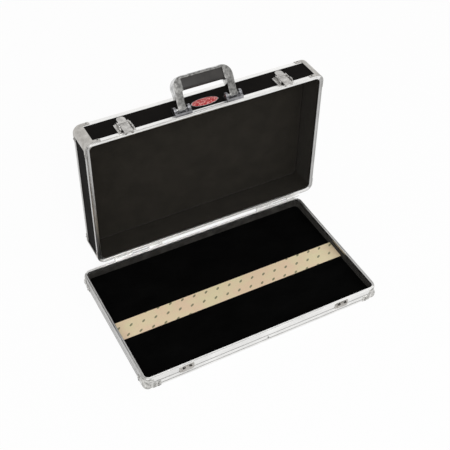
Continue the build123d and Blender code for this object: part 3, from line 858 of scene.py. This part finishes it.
def rounded_path(
    half_width: float, half_depth: float, radius: float, step: float
) -> list[tuple[Vector, Vector]]:
    """Points round a rounded rectangle, with their outward directions.

    Args:
        half_width: Half its size along X.
        half_depth: Half its size along Y.
        radius: Its corner radius.
        step: The greatest distance between points.

    Returns:
        Pairs of point and outward direction, anticlockwise.
    """
    stations = []
    arc_steps = max(MIN_ARC_STEPS, round(radius * math.pi / 2 / step))
    for quarter, (sx, sy) in enumerate([(1, 1), (-1, 1), (-1, -1), (1, -1)]):
        centre = Vector((sx * (half_width - radius), sy * (half_depth - radius)))
        for index in range(arc_steps + 1):
            angle = math.pi / 2 * (quarter + index / arc_steps)
            out = Vector((math.cos(angle), math.sin(angle)))
            stations.append((centre + out * radius, out))
        side = (half_depth if quarter % 2 else half_width) - radius
        straight = max(1, round(2 * side / step))
        start, out = stations[-1]
        along = Vector((-out.y, out.x))
        for index in range(1, straight):
            stations.append((start + along * (2 * side * index / straight), out))
    return stations


def swept_ring(
    name: str,
    stations: Sequence[tuple[Vector, Vector]],
    section: Callable[[Vector], Section],
    material: Material,
) -> Piece:
    """Sweeps a closed section round a closed path.

    Args:
        name: The piece's name.
        stations: Points and outward directions of the path.
        section: Gives the section at a place as pairs of inset and height.
        material: The piece's finish.

    Returns:
        The closed ring.
    """
    points, faces = [], []
    for place, out in stations:
        for inset, height in section(place):
            inner = place - out * inset
            points.append((inner.x, inner.y, height))
    size = len(points) // len(stations)
    for index in range(len(stations)):
        here, ahead = index * size, (index + 1) % len(stations) * size
        for corner in range(size):
            after = (corner + 1) % size
            faces.append((here + corner, ahead + corner, ahead + after, here + after))
    return outward(new_piece(name, points, faces, material), sharp=60.0)


@dataclass(frozen=True)
class WallCloth:
    """A lining glued round the inside of four walls, with one rolled edge."""

    thickness: float
    roll: float
    wave: float
    wave_cells: float
    wave_seed: float
    shares: tuple[float, ...]
    step: float = 8.0 * MM
    roll_steps: int = 5

    def build(
        self, name: str, half: Vector, radius: float, ends: tuple[float, float], material: Material
    ) -> Piece:
        """Builds the lining as a closed ring.

        Args:
            name: The piece's name.
            half: The far corner of the walls' inside, from the middle.
            radius: The corner radius of the walls' inside.
            ends: The heights of the rolled edge and of the far edge.
            material: Its finish.

        Returns:
            The lining.
        """
        free, fixed = ends
        way = math.copysign(1.0, fixed - free)
        span = fixed - free - way * self.roll

        def section(place: Vector) -> Section:
            """Draws the lining's section, from its back round the rolled edge to its face.

            Args:
                place: The place on the walls' inside.

            Returns:
                Pairs of inset and height.
            """
            sample = Vector((place.x, place.y, self.wave_seed)) * self.wave_cells
            face = self.thickness - self.wave * (1.0 - noise.noise(sample))
            points = [(0.0, fixed), (0.0, free)]
            for index in range(self.roll_steps + 1):
                angle = math.pi / 2 * index / self.roll_steps
                inset = face - self.roll * (1 - math.sin(angle))
                points.append((inset, free + way * self.roll * (1 - math.cos(angle))))
            return points + [(face, free + way * self.roll + span * share) for share in self.shares]

        return swept_ring(name, rounded_path(half.x, half.y, radius, self.step), section, material)


@dataclass(frozen=True)
class Pad:
    """A flat soft pad with rounded corners, whose edges roll over."""

    width: float
    depth: float
    radius: float
    low: float
    high: float
    drop: float
    ripple: float
    roll: float = 6.0 * MM
    ripple_size: float = 60.0 * MM
    fine_share: float = 0.4
    fine_scale: float = 3.7
    cell: float = 6.0 * MM
    seed: float = 0.0
    roll_lines: tuple[float, ...] = (0.0, 0.08, 0.2, 0.38, 0.62, 1.0)

    def round_corner(self, x: float, y: float) -> tuple[float, float]:
        """Moves a grid point of the full rectangle into the rounded outline.

        Args:
            x: The point's place across.
            y: The point's place along.

        Returns:
            The moved point.
        """
        middle_x, middle_y = self.width / 2 - self.radius, self.depth / 2 - self.radius
        over_x, over_y = abs(x) - middle_x, abs(y) - middle_y
        if over_x <= 0 or over_y <= 0:
            return x, y
        share = max(over_x, over_y) / math.hypot(over_x, over_y)
        return (
            math.copysign(middle_x + over_x * share, x),
            math.copysign(middle_y + over_y * share, y),
        )

    def top(self, x: float, y: float) -> float:
        """The height of the pad's face at a point.

        Args:
            x: The point's place across.
            y: The point's place along.

        Returns:
            The height, with the ripples and the rolled edge.
        """
        edge = min(self.width / 2 - abs(x), self.depth / 2 - abs(y))
        share = max(0.0, 1.0 - edge / self.roll)
        wave = noise.noise(Vector((x / self.ripple_size, y / self.ripple_size, self.seed)))
        fine = noise.noise(Vector((x, y, self.seed)) * (self.fine_scale / self.ripple_size))
        dip = (1.0 - wave - self.fine_share * fine) / (1.0 + self.fine_share)
        return self.high - self.ripple * dip - self.drop * share**3

    def lines(self, span: float) -> list[float]:
        """Grid lines across a span, closer together at its two edges.

        Args:
            span: The span.

        Returns:
            The lines' places, from one edge to the other.
        """
        inner = span / 2 - self.roll
        rolled = [span / 2 - self.roll * share for share in self.roll_lines]
        count = max(2, math.ceil(2 * inner / self.cell))
        middle = [-inner + 2 * inner * index / count for index in range(1, count)]
        return [-value for value in rolled] + middle + rolled[::-1]

    def build(self, name: str, material: Material) -> Piece:
        """Builds the pad as a closed mesh.

        Args:
            name: The piece's name.
            material: Its finish.

        Returns:
            The pad.
        """
        across, along = self.lines(self.width), self.lines(self.depth)
        points, faces = [], []
        for level in (0, 1):
            for y in along:
                for x in across:
                    points.append((*self.round_corner(x, y), self.top(x, y) if level else self.low))
        columns, rows = len(across), len(along)
        layer = columns * rows
        for row in range(rows - 1):
            for column in range(columns - 1):
                first = row * columns + column
                quad = (first, first + 1, first + columns + 1, first + columns)
                faces.append(tuple(layer + index for index in quad))
                faces.append(tuple(reversed(quad)))
        rim = list(range(columns - 1))
        rim += [row * columns + columns - 1 for row in range(rows - 1)]
        rim += [(rows - 1) * columns + column for column in range(columns - 1, 0, -1)]
        rim += [row * columns for row in range(rows - 1, 0, -1)]
        for here, ahead in zip(rim, rim[1:] + rim[:1]):
            faces.append((here, ahead, layer + ahead, layer + here))
        return outward(new_piece(name, points, faces, material), sharp=70.0)


# ------------------------------------------------------------------ rivets
@dataclass(frozen=True)
class RivetSeat:
    """Where a rivet sits and the way it faces."""

    place: Point
    facing: Point


@dataclass(frozen=True)
class RivetKind:
    """The sizes of one kind of blind rivet."""

    radius: float = 2.1 * MM
    height: float = 0.9 * MM
    pin_radius: float = 1.5 * MM
    pin_height: float = 0.30 * MM
    sides: int = 20
    rings: int = 10

    def tree(self, material: Material, shade_on_pins: Material) -> bpy.types.NodeTree:
        """Builds the node tree that sets a rivet on every point.

        Args:
            material: The rivets' finish.
            shade_on_pins: The near-black material of the pins in their middles: painted shade for the
                rivets' hollow middles.

        Returns:
            The tree, whose inputs are the rivet's named sizes.
        """
        tree = bpy.data.node_groups.new("rivets", "GeometryNodeTree")
        face = tree.interface
        face.new_socket("Geometry", in_out="INPUT", socket_type="NodeSocketGeometry")
        for label in ("Head Radius", "Head Height", "Pin Radius", "Pin Height"):
            face.new_socket(label, in_out="INPUT", socket_type="NodeSocketFloat")
        face.new_socket("Geometry", in_out="OUTPUT", socket_type="NodeSocketGeometry")
        entry = tree.nodes.new("NodeGroupInput")
        leave = tree.nodes.new("NodeGroupOutput")

        def add(kind: str, **links: Feed) -> Node:
            """Adds a node and sets or links its inputs.

            Args:
                kind: The node's type.
                links: A socket or a value for each input, by name.

            Returns:
                The node.
            """
            node = tree.nodes.new(kind)
            for label, value in links.items():
                socket = node.inputs[label.replace("_", " ")]
                if isinstance(value, bpy.types.NodeSocket):
                    tree.links.new(value, socket)
                else:
                    socket.default_value = value
            return node

        dome = add("GeometryNodeMeshUVSphere", Segments=self.sides, Rings=self.rings, Radius=1.0)
        size = add("ShaderNodeCombineXYZ")
        for label, out in (("X", "Head Radius"), ("Y", "Head Radius"), ("Z", "Head Height")):
            tree.links.new(entry.outputs[out], size.inputs[label])
        head = add("GeometryNodeTransform", Geometry=dome.outputs["Mesh"], Scale=size.outputs[0])
        pin = add("GeometryNodeMeshCylinder", Vertices=self.sides, Radius=entry.outputs["Pin Radius"])
        tree.links.new(entry.outputs["Pin Height"], pin.inputs["Depth"])
        lift = add("ShaderNodeCombineXYZ", Z=entry.outputs["Head Height"])
        raised = add("GeometryNodeTransform", Geometry=pin.outputs["Mesh"], Translation=lift.outputs[0])
        rivet = add("GeometryNodeJoinGeometry")
        # The pins get the near-black painted shade of the rivets' hollow middles; the heads get the
        # rivets' metal.
        for shape, coat in ((raised, shade_on_pins), (head, material)):
            coated = add("GeometryNodeSetMaterial", Geometry=shape.outputs[0])
            coated.inputs["Material"].default_value = coat
            tree.links.new(coated.outputs[0], rivet.inputs[0])
        facing = add("GeometryNodeInputNamedAttribute")
        facing.data_type = "FLOAT_VECTOR"
        facing.inputs["Name"].default_value = "facing"
        turn = add("FunctionNodeAlignRotationToVector", Vector=facing.outputs["Attribute"])
        turn.axis = "Z"
        spread = add(
            "GeometryNodeInstanceOnPoints",
            Points=entry.outputs["Geometry"],
            Instance=rivet.outputs[0],
            Rotation=turn.outputs[0],
        )
        real = add("GeometryNodeRealizeInstances", Geometry=spread.outputs[0])
        smooth = add("GeometryNodeSetShadeSmooth", Geometry=real.outputs[0])
        tree.links.new(smooth.outputs[0], leave.inputs[0])
        return tree

    def set_in(
        self,
        name: str,
        seats: Sequence[RivetSeat],
        finishes: Finishes,
        body: str,
        space: LidSpace | None = None,
    ) -> None:
        """Sets rivets and turns them into one plain mesh.

        Args:
            name: The piece's name.
            seats: Where the rivets sit.
            finishes: The case's finishes.
            body: The body that they ride on.
            space: The lid's space, where the seats are drawn closed.
        """
        mesh = bpy.data.meshes.new(name)
        mesh.from_pydata([seat.place for seat in seats], [], [])
        facing = mesh.attributes.new("facing", "FLOAT_VECTOR", "POINT")
        facing.data.foreach_set("vector", [value for seat in seats for value in seat.facing])
        piece = bpy.data.objects.new(name, mesh)
        bpy.context.scene.collection.objects.link(piece)
        modifier = piece.modifiers.new("rivets", "NODES")
        modifier.node_group = self.tree(finishes.plated, finishes.shade_on_pins)
        sizes = {
            "Head Radius": self.radius,
            "Head Height": self.height,
            "Pin Radius": self.pin_radius,
            "Pin Height": self.pin_height,
        }
        for item in modifier.node_group.interface.items_tree:
            if item.in_out == "INPUT" and item.name in sizes:
                modifier[item.identifier] = sizes[item.name]
        baked(piece)
        if space is not None:
            space.open(piece)
        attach(piece, body)


def corner_seats(
    half_width: float, half_depth: float, reach: float, proud: float, heights: Sequence[float]
) -> list[RivetSeat]:
    """Rivet seats on both sides of each of the four corner pieces.

    Args:
        half_width: Half the frame's size along X.
        half_depth: Half its size along Y.
        reach: How far the seats are from the corner, along each side.
        proud: How far the corner pieces stand out from the frame.
        heights: The seats' heights.

    Returns:
        The seats.
    """
    seats = []
    for sx in (-1, 1):
        for sy in (-1, 1):
            for height in heights:
                x, y = sx * (half_width - reach), sy * (half_depth - reach)
                seats.append(RivetSeat((x, sy * (half_depth + proud), height), (0, sy, 0)))
                seats.append(RivetSeat((sx * (half_width + proud), y, height), (sx, 0, 0)))
    return seats


# ------------------------------------------------------------------ tray
@dataclass
class Tray:
    """The lower half of the case."""

    finishes: Finishes
    leg_rivet_reach: float = 30.0 * MM
    leg_rivet_height: float = 11.5 * MM
    leg_rivet_gap: float = 7.5 * MM
    guard_proud: float = 1.2 * MM
    front_rivet_x: float = 4.0 * MM
    front_rivet_height: float = 16.2 * MM
    lining_roll: float = 1.4 * MM
    lining_wave: float = 0.25 * MM
    floor_radius_gain: float = 4.0 * MM
    groove_heights: tuple[float, float] = (11.4 * MM, 22.4 * MM)
    groove_half: float = 1.0 * MM
    groove_depths: tuple[float, float] = (0.1 * MM, 1.2 * MM)
    break_wide: EdgeBreak = EdgeBreak(0.35 * MM)
    break_fine: EdgeBreak = EdgeBreak(0.18 * MM)
    break_corner: EdgeBreak = EdgeBreak(0.55 * MM)

    def rails(self) -> None:
        """Finishes the four rails, with the drawing lines along each, painted shade on the left and right
        rails, and painted shade in their grooves.
        """
        rails = self.finishes.rail
        for side, axis in (("front", Axis.X), ("back", Axis.X), ("left", Axis.Y), ("right", Axis.Y)):
            piece = self.break_wide.apply(f"tray_rail_{side}", rails[axis], "frame_aluminium")
            self.shade_grooves(piece, across=1 - axis.value)

    def shade_grooves(self, piece: Piece, across: int) -> None:
        """Gives the faces inside a rail's two grooves a darker material: painted shade in the grooves.

        Args:
            piece: The rail.
            across: The index of the axis through its wall.
        """
        mesh = piece.data
        groove = len(mesh.materials)
        mesh.materials.append(self.finishes.groove)
        outer = max(abs(vertex.co[across]) for vertex in mesh.vertices)
        shallow, deep = self.groove_depths
        for face in mesh.polygons:
            depth = outer - abs(face.center[across])
            near = min(abs(face.center.z - height) for height in self.groove_heights)
            if shallow < depth < deep and near < self.groove_half:
                face.material_index = groove

    def fittings(self) -> None:
        """Finishes the corner pieces, catches, hinge halves and pins."""
        finishes = self.finishes
        # The tray corners: mottled steel with painted highlights and dark reflections, and painted shade
        # on their broken edges.
        self.break_corner.apply("tray_corners", finishes.pressed, "corner_steel", finishes.shade_at_edges)
        for side in ("left", "right"):
            # The catch plates' broken edges get painted shade.
            self.break_wide.apply(f"catch_plate_{side}", finishes.guard, "plated_steel", finishes.shade_at_edges)
            self.break_fine.apply(f"tray_hinge_leaf_{side}", finishes.zinc, "plated_steel")
            self.break_fine.apply(f"hinge_pin_{side}", finishes.chrome, "plated_steel")
        dress(["tray_bottom_panel"], finishes.laminate)

    def rivets(self) -> None:
        """Rivets the corner pieces' legs and the front rail."""
        half_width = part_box("tray_rail_right")[1].x
        half_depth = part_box("tray_rail_back")[1].y
        heights = [self.leg_rivet_height + side * self.leg_rivet_gap / 2 for side in (-1, 1)]
        seats = corner_seats(half_width, half_depth, self.leg_rivet_reach, self.guard_proud, heights)
        seats.append(RivetSeat((self.front_rivet_x, -half_depth, self.front_rivet_height), (0, -1, 0)))
        RivetKind().set_in("tray_rivets", seats, self.finishes, "tray")

    def lining(self) -> None:
        """Covers the walls' inside with a lining whose upper edge is rolled."""
        low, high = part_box("tray_wall_lining")
        cloth = WallCloth(
            thickness=high.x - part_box("floor_velour")[1].x, roll=self.lining_roll,
            wave=self.lining_wave, wave_cells=28.0, wave_seed=0.0, shares=(0.34, 0.67, 1.0),
        )
        radius = CORNER_RADIUS - (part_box("tray_rail_right")[1].x - high.x)
        material = self.finishes.tray_lining
        piece = cloth.build("tray_lining_cloth", high, radius, (high.z, low.z), material)
        stand_in(piece, "tray", "tray_wall_lining")

    def floor(self) -> None:
        """Lays the foam and the velour over it."""
        low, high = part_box("floor_foam")
        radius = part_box("tray_wall_lining")[1].x - high.x + self.floor_radius_gain
        size = (high.x - low.x, high.y - low.y)
        foam = Pad(
            *size, radius, low=low.z, high=high.z, drop=0.3 * MM, ripple=0.1 * MM, cell=24.0 * MM
        )
        piece = foam.build("floor_foam_pad", self.finishes.foam)
        stand_in(piece, "tray", "floor_foam")
        low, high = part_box("floor_velour")
        cloth = Pad(
            *size, radius, low=low.z, high=high.z,
            drop=1.1 * MM, ripple=0.35 * MM, ripple_size=45.0 * MM,
        )
        piece = cloth.build("floor_velour_cloth", self.finishes.velour)
        stand_in(piece, "tray", "floor_velour")

    def strip(self) -> None:
        """Lays the hook tape and its printed release paper."""
        low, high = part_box("hook_strip")
        size = (high.x - low.x, high.y - low.y)
        place = Matrix.Translation((0.0, (low.y + high.y) / 2, 0.0))
        tape = Pad(
            *size, radius=0.5 * MM, low=low.z, high=high.z,
            roll=1.5 * MM, drop=0.2 * MM, ripple=0.05 * MM, cell=12.0 * MM,
        )
        piece = tape.build("hook_tape_band", self.finishes.hook)
        piece.data.transform(place)
        stand_in(piece, "tray", "hook_strip")
        low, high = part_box("strip_liner")
        paper = Pad(
            *size, radius=0.4 * MM, low=low.z, high=high.z, roll=2.0 * MM, drop=0.02 * MM,
            ripple=0.08 * MM, ripple_size=35.0 * MM, cell=5.0 * MM, seed=3.0,
        )
        piece = paper.build("release_paper_band", self.finishes.paper)
        piece.data.transform(place)
        stand_in(piece, "tray", "strip_liner")

    def build(self) -> None:
        """Builds and dresses everything that stays with the tray."""
        self.rails()
        self.fittings()
        self.rivets()
        self.lining()
        self.floor()
        self.strip()


# ------------------------------------------------------------------ lid
@dataclass
class Lid:
    """The upper half of the case."""

    finishes: Finishes
    space: LidSpace
    guard_proud: float = 1.0 * MM
    rivet: RivetKind = RivetKind(radius=1.9 * MM)
    ear_rivet_reach: float = 29.0 * MM
    rim_ear_rivet_height: float = 4.2 * MM
    top_ear_rivet_drop: float = 7.0 * MM
    lining_thickness: float = 3.0 * MM
    lining_roll: float = 1.5 * MM
    lining_wave: float = 0.3 * MM
    badge_length: float = 62.0 * MM
    badge_height: float = 23.0 * MM
    badge_rise: float = 1.3 * MM
    badge_crown: float = 0.5 * MM
    badge_above_rim: float = 27.0 * MM
    badge_border: float = 1.1 * MM
    border_rise: float = 0.7
    oval_sides: int = 64
    oval_rings: tuple[tuple[float, float], ...] = (
        (1.0, 0.0), (1.0, 0.75), (0.985, 0.93), (0.96, 1.0), (0.85, 1.0), (0.6, 1.0), (0.3, 1.0),
    )
    break_wide: EdgeBreak = EdgeBreak(0.3 * MM)
    break_fine: EdgeBreak = EdgeBreak(0.18 * MM)

    def frames(self) -> None:
        """Finishes the rim and edge frames, the corner guards and the boards."""
        finishes = self.finishes
        # The left and right rims and edges take the darker aluminium copy along Z: painted shade on the
        # side-facing frames.
        for side, axis in (("front", Axis.X), ("back", Axis.X), ("left", Axis.Z), ("right", Axis.Z)):
            for part in ("rim", "edge"):
                self.break_wide.apply(f"lid_{part}_{side}", finishes.rail[axis], "frame_aluminium")
            dress([f"lid_wall_{side}"], finishes.laminate)
        # The lid's corner guards' broken edges get painted shade.
        self.break_wide.apply("lid_corners", finishes.guard, "corner_steel", finishes.shade_at_edges)
        dress(["lid_top_panel"], finishes.laminate)

    def outline(self) -> tuple[float, float, float, float]:
        """Measures the frames of the closed lid.

        Returns:
            Half their width, half their depth, and the heights of their bottom and top.
        """
        edges = [f"lid_edge_{side}" for side in ("left", "right", "front", "back")]
        low, high = self.space.box(*edges, "lid_rim_front")
        return high.x, high.y, low.z, high.z

    def rivets(self) -> None:
        """Rivets the corner guards' ears."""
        half_width, half_depth, bottom, top = self.outline()
        heights = (bottom + self.rim_ear_rivet_height, top - self.top_ear_rivet_drop)
        seats = corner_seats(half_width, half_depth, self.ear_rivet_reach, self.guard_proud, heights)
        self.rivet.set_in("lid_rivets", seats, self.finishes, "lid", self.space)

    def wall_lining(self) -> None:
        """Covers the walls' inside with a lining whose edge is rolled at the mouth."""
        low, high = self.space.box("lid_wall_lining")
        radius = CORNER_RADIUS - (self.outline()[0] - high.x)
        cloth = WallCloth(
            thickness=self.lining_thickness, roll=self.lining_roll,
            wave=self.lining_wave, wave_cells=24.0, wave_seed=5.0, shares=(0.2, 0.4, 0.6, 0.8, 1.0),
        )
        piece = cloth.build("lid_wall_cloth", high, radius, (low.z, high.z), self.finishes.lid_lining)
        self.space.open(piece)
        stand_in(piece, "lid", "lid_wall_lining")

    def top_lining(self) -> None:
        """Pads the inside of the top board with a crowned, cloth-covered foam."""
        low, high = self.space.box("lid_top_lining")
        radius = CORNER_RADIUS - (self.outline()[0] - high.x)
        pad = Pad(
            high.x - low.x, high.y - low.y, radius, low=0.0, high=high.z - low.z,
            roll=16.0 * MM, drop=2.6 * MM, ripple=0.9 * MM, ripple_size=90.0 * MM, seed=7.0,
        )
        piece = pad.build("lid_top_pad", self.finishes.lid_lining)
        piece.data.transform(Matrix.Translation((0.0, 0.0, high.z)) @ Matrix.Rotation(math.pi, 4, "X"))
        self.space.open(piece)
        stand_in(piece, "lid", "lid_top_lining")

    def oval(
        self, name: str, centre: Point, grow: float, rise: float, crown: float, material: Material
    ) -> None:
        """Sets a domed oval on the lid's front.

        Args:
            name: The piece's name.
            centre: Its middle on the closed lid's front board.
            grow: How far it reaches past the badge's oval.
            rise: The height of its edge.
            crown: How much higher its middle is.
            material: Its finish.
        """
        half_x, half_z = self.badge_length / 2 + grow, self.badge_height / 2 + grow
        sides = self.oval_sides
        points = []
        for share, lift in self.oval_rings:
            y = centre[1] - rise * lift - crown * (1 - share**2)
            for index in range(sides):
                angle = math.tau * index / sides
                x = centre[0] + half_x * share * math.cos(angle)
                points.append((x, y, centre[2] + half_z * share * math.sin(angle)))
        points.append((centre[0], centre[1] - rise - crown, centre[2]))
        last = (len(self.oval_rings) - 1) * sides
        ahead = [(index + 1) % sides for index in range(sides)]
        faces = []
        for start in range(0, last, sides):
            for index in range(sides):
                here, after = start + index, start + ahead[index]
                faces.append((here, after, after + sides, here + sides))
        faces += [(last + index, last + ahead[index], len(points) - 1) for index in range(sides)]
        faces.append(tuple(reversed(range(sides))))
        piece = outward(new_piece(name, points, faces, material), sharp=50.0)
        self.space.open(piece)
        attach(piece, "lid")

    def badge(self) -> None:
        """Sets a blank oval badge in its thin border on the front board."""
        front = self.space.box("lid_wall_front")[0].y
        centre = (0.0, front, self.outline()[2] + self.badge_above_rim)
        border_rise = self.badge_rise * self.border_rise
        self.oval("badge_border", centre, self.badge_border, border_rise, 0.0, self.finishes.chrome)
        self.oval("badge_resin", centre, 0.0, self.badge_rise, self.badge_crown, self.finishes.badge)

    def build(self) -> None:
        """Builds and dresses everything that is fixed to the lid's shell."""
        self.frames()
        self.rivets()
        self.wall_lining()
        self.top_lining()
        self.badge()
        for side in ("left", "right"):
            self.break_fine.apply(f"lid_hinge_leaf_{side}", self.finishes.zinc, "plated_steel")


# ------------------------------------------------------------------ latches and handle
@dataclass
class Latches:
    """The two draw latches."""

    finishes: Finishes
    edge: EdgeBreak = EdgeBreak(0.15 * MM)

    def build(self) -> None:
        """Finishes plates, levers, claws and pins."""
        finishes = self.finishes
        for side in ("left", "right"):
            self.edge.apply(f"latch_plate_{side}", finishes.plated, "plated_steel")
            for part in ("lever", "claw"):
                # The levers' and claws' broken edges get painted shade, dark outlines at the gaps between
                # them.
                self.edge.apply(f"latch_{part}_{side}", finishes.plated, "plated_steel", finishes.shade_at_edges)
            self.edge.apply(f"latch_claw_pin_{side}", finishes.chrome, "plated_steel")


@dataclass
class Handle:
    """The folding handle with its brackets."""

    finishes: Finishes
    lean: float = math.radians(39.0)
    # How squarely a face must look along the lean to get the painted shade.
    facing: float = 0.9
    bow_edge: EdgeBreak = EdgeBreak(1.1 * MM, segments=4, steepest=24.0)
    grip_edge: EdgeBreak = EdgeBreak(0.8 * MM, segments=3, steepest=24.0)
    fine_edge: EdgeBreak = EdgeBreak(0.3 * MM)

    def bow(self) -> None:
        """Finishes the bow: faces that look along its lean get painted shade and dark reflections, inside
        a band of painted reflections, and its broken edges painted shade.
        """
        # The bow's broken edges get painted shade.
        piece = self.bow_edge.apply("handle_bow", self.finishes.band, "cast_chrome", self.finishes.shade_at_edges)
        # Faces that look along the lean get the darker material: painted shade and dark reflections,
        # chosen by the way a face looks.
        through = Vector((0.0, -math.cos(self.lean), math.sin(self.lean)))
        cast = len(piece.data.materials)
        piece.data.materials.append(self.finishes.cast)
        for face in piece.data.polygons:
            if face.material_index == 0 and abs(face.normal.dot(through)) > self.facing:
                face.material_index = cast

    def build(self) -> None:
        """Finishes the bow, its grip, the brackets and the pins."""
        finishes = self.finishes
        self.bow()
        self.grip_edge.apply("handle_grip", finishes.grip, "grip_vinyl")
        for side in ("left", "right"):
            name = f"handle_bracket_{side}"
            # The brackets' broken edges get painted shade.
            self.fine_edge.apply(name, finishes.bracket, "plated_steel", finishes.shade_at_edges)
            self.fine_edge.apply(f"handle_pin_{side}", finishes.chrome, "plated_steel")


# ------------------------------------------------------------------ studio
@dataclass(frozen=True)
class Lamp:
    """One soft lamp."""

    name: str
    place: Point
    size: float
    power: float
    target: Point = (0.0, 0.05, 0.15)

    def build(self) -> None:
        """Hangs the lamp and points it at its target."""
        data = bpy.data.lights.new(self.name, "AREA")
        data.shape = "DISK"
        data.size = self.size
        data.energy = self.power
        lamp = bpy.data.objects.new(self.name, data)
        lamp.location = self.place
        away = Vector(self.target) - Vector(self.place)
        lamp.rotation_euler = away.to_track_quat("-Z", "Y").to_euler()
        bpy.context.scene.collection.objects.link(lamp)


@dataclass
class Studio:
    """The table, the light and the camera."""

    finishes: Finishes
    table_size: float = 14.0
    sky: float = 0.62
    lamps: tuple[Lamp, ...] = (
        Lamp("key_lamp", (-0.3, -2.5, 2.4), size=1.6, power=40.0),
        Lamp("fill_lamp", (2.2, -0.9, 1.8), size=1.8, power=6.0),
    )
    camera_place: Point = (-0.6645, -1.1911, 1.4969)
    camera_forward: Point = (0.3482, 0.6369, -0.6878)
    camera_up: Point = (0.3131, 0.6126, 0.7257)
    sensor: float = 36.0
    focal: float = 70.84
    far: float = 50.0

    def table(self) -> None:
        """Lays the table on which the case stands."""
        half = self.table_size / 2
        corners = [(-half, -half, 0), (half, -half, 0), (half, half, 0), (-half, half, 0)]
        new_piece("table_top", corners, [(0, 1, 2, 3)], self.finishes.table)

    def world(self) -> None:
        """Lights the room evenly, and shows it white to the camera and in reflections."""
        world = bpy.data.worlds.new("white_room")
        bpy.context.scene.world = world
        world.use_nodes = True
        tree = world.node_tree
        background = tree.nodes["Background"]
        background.inputs["Color"].default_value = (1.0, 1.0, 1.0, 1.0)
        light_path = tree.nodes.new("ShaderNodeLightPath")
        labels = ("Is Camera Ray", "Is Glossy Ray", "Is Transmission Ray")
        shares = [tree.nodes.new("ShaderNodeMath") for _ in labels]
        shares[0].inputs[1].default_value = self.sky
        for share, label in zip(shares, labels):
            share.operation = "MAXIMUM"
            tree.links.new(light_path.outputs[label], share.inputs[0])
        for before, share in zip(shares, shares[1:]):
            tree.links.new(before.outputs[0], share.inputs[1])
        tree.links.new(shares[-1].outputs[0], background.inputs["Strength"])

    def camera(self) -> None:
        """Sets the camera at the photograph's view."""
        data = bpy.data.cameras.new("camera")
        data.sensor_fit = "HORIZONTAL"
        data.sensor_width = self.sensor
        data.lens = self.focal
        data.clip_end = self.far
        camera = bpy.data.objects.new("camera", data)
        forward = Vector(self.camera_forward).normalized()
        right = forward.cross(Vector(self.camera_up)).normalized()
        up = right.cross(forward)
        turn = Matrix((right, up, -forward)).transposed().to_4x4()
        camera.matrix_world = Matrix.Translation(self.camera_place) @ turn
        bpy.context.scene.collection.objects.link(camera)
        bpy.context.scene.camera = camera

    def build(self) -> None:
        """Builds the table, the lamps, the room and the camera."""
        self.table()
        self.world()
        self.camera()
        for lamp in self.lamps:
            lamp.build()
        bpy.context.scene.view_settings.view_transform = "Standard"


def main() -> None:
    """Builds every sub-assembly in order."""
    logging.basicConfig(level=logging.INFO, format="%(name)s: %(message)s")
    finishes = Finishes()
    space = LidSpace()
    parts = [Tray(finishes), Lid(finishes, space), Latches(finishes), Handle(finishes), Studio(finishes)]
    for part in parts:
        before = {obj.name for obj in bpy.data.objects}
        part.build()
        for obj in bpy.data.objects:
            if obj.name not in before and obj.type == "MESH":
                LOG.info("%s: %s, %d faces", type(part).__name__, obj.name, len(obj.data.polygons))


if __name__ == "__main__":
    main()
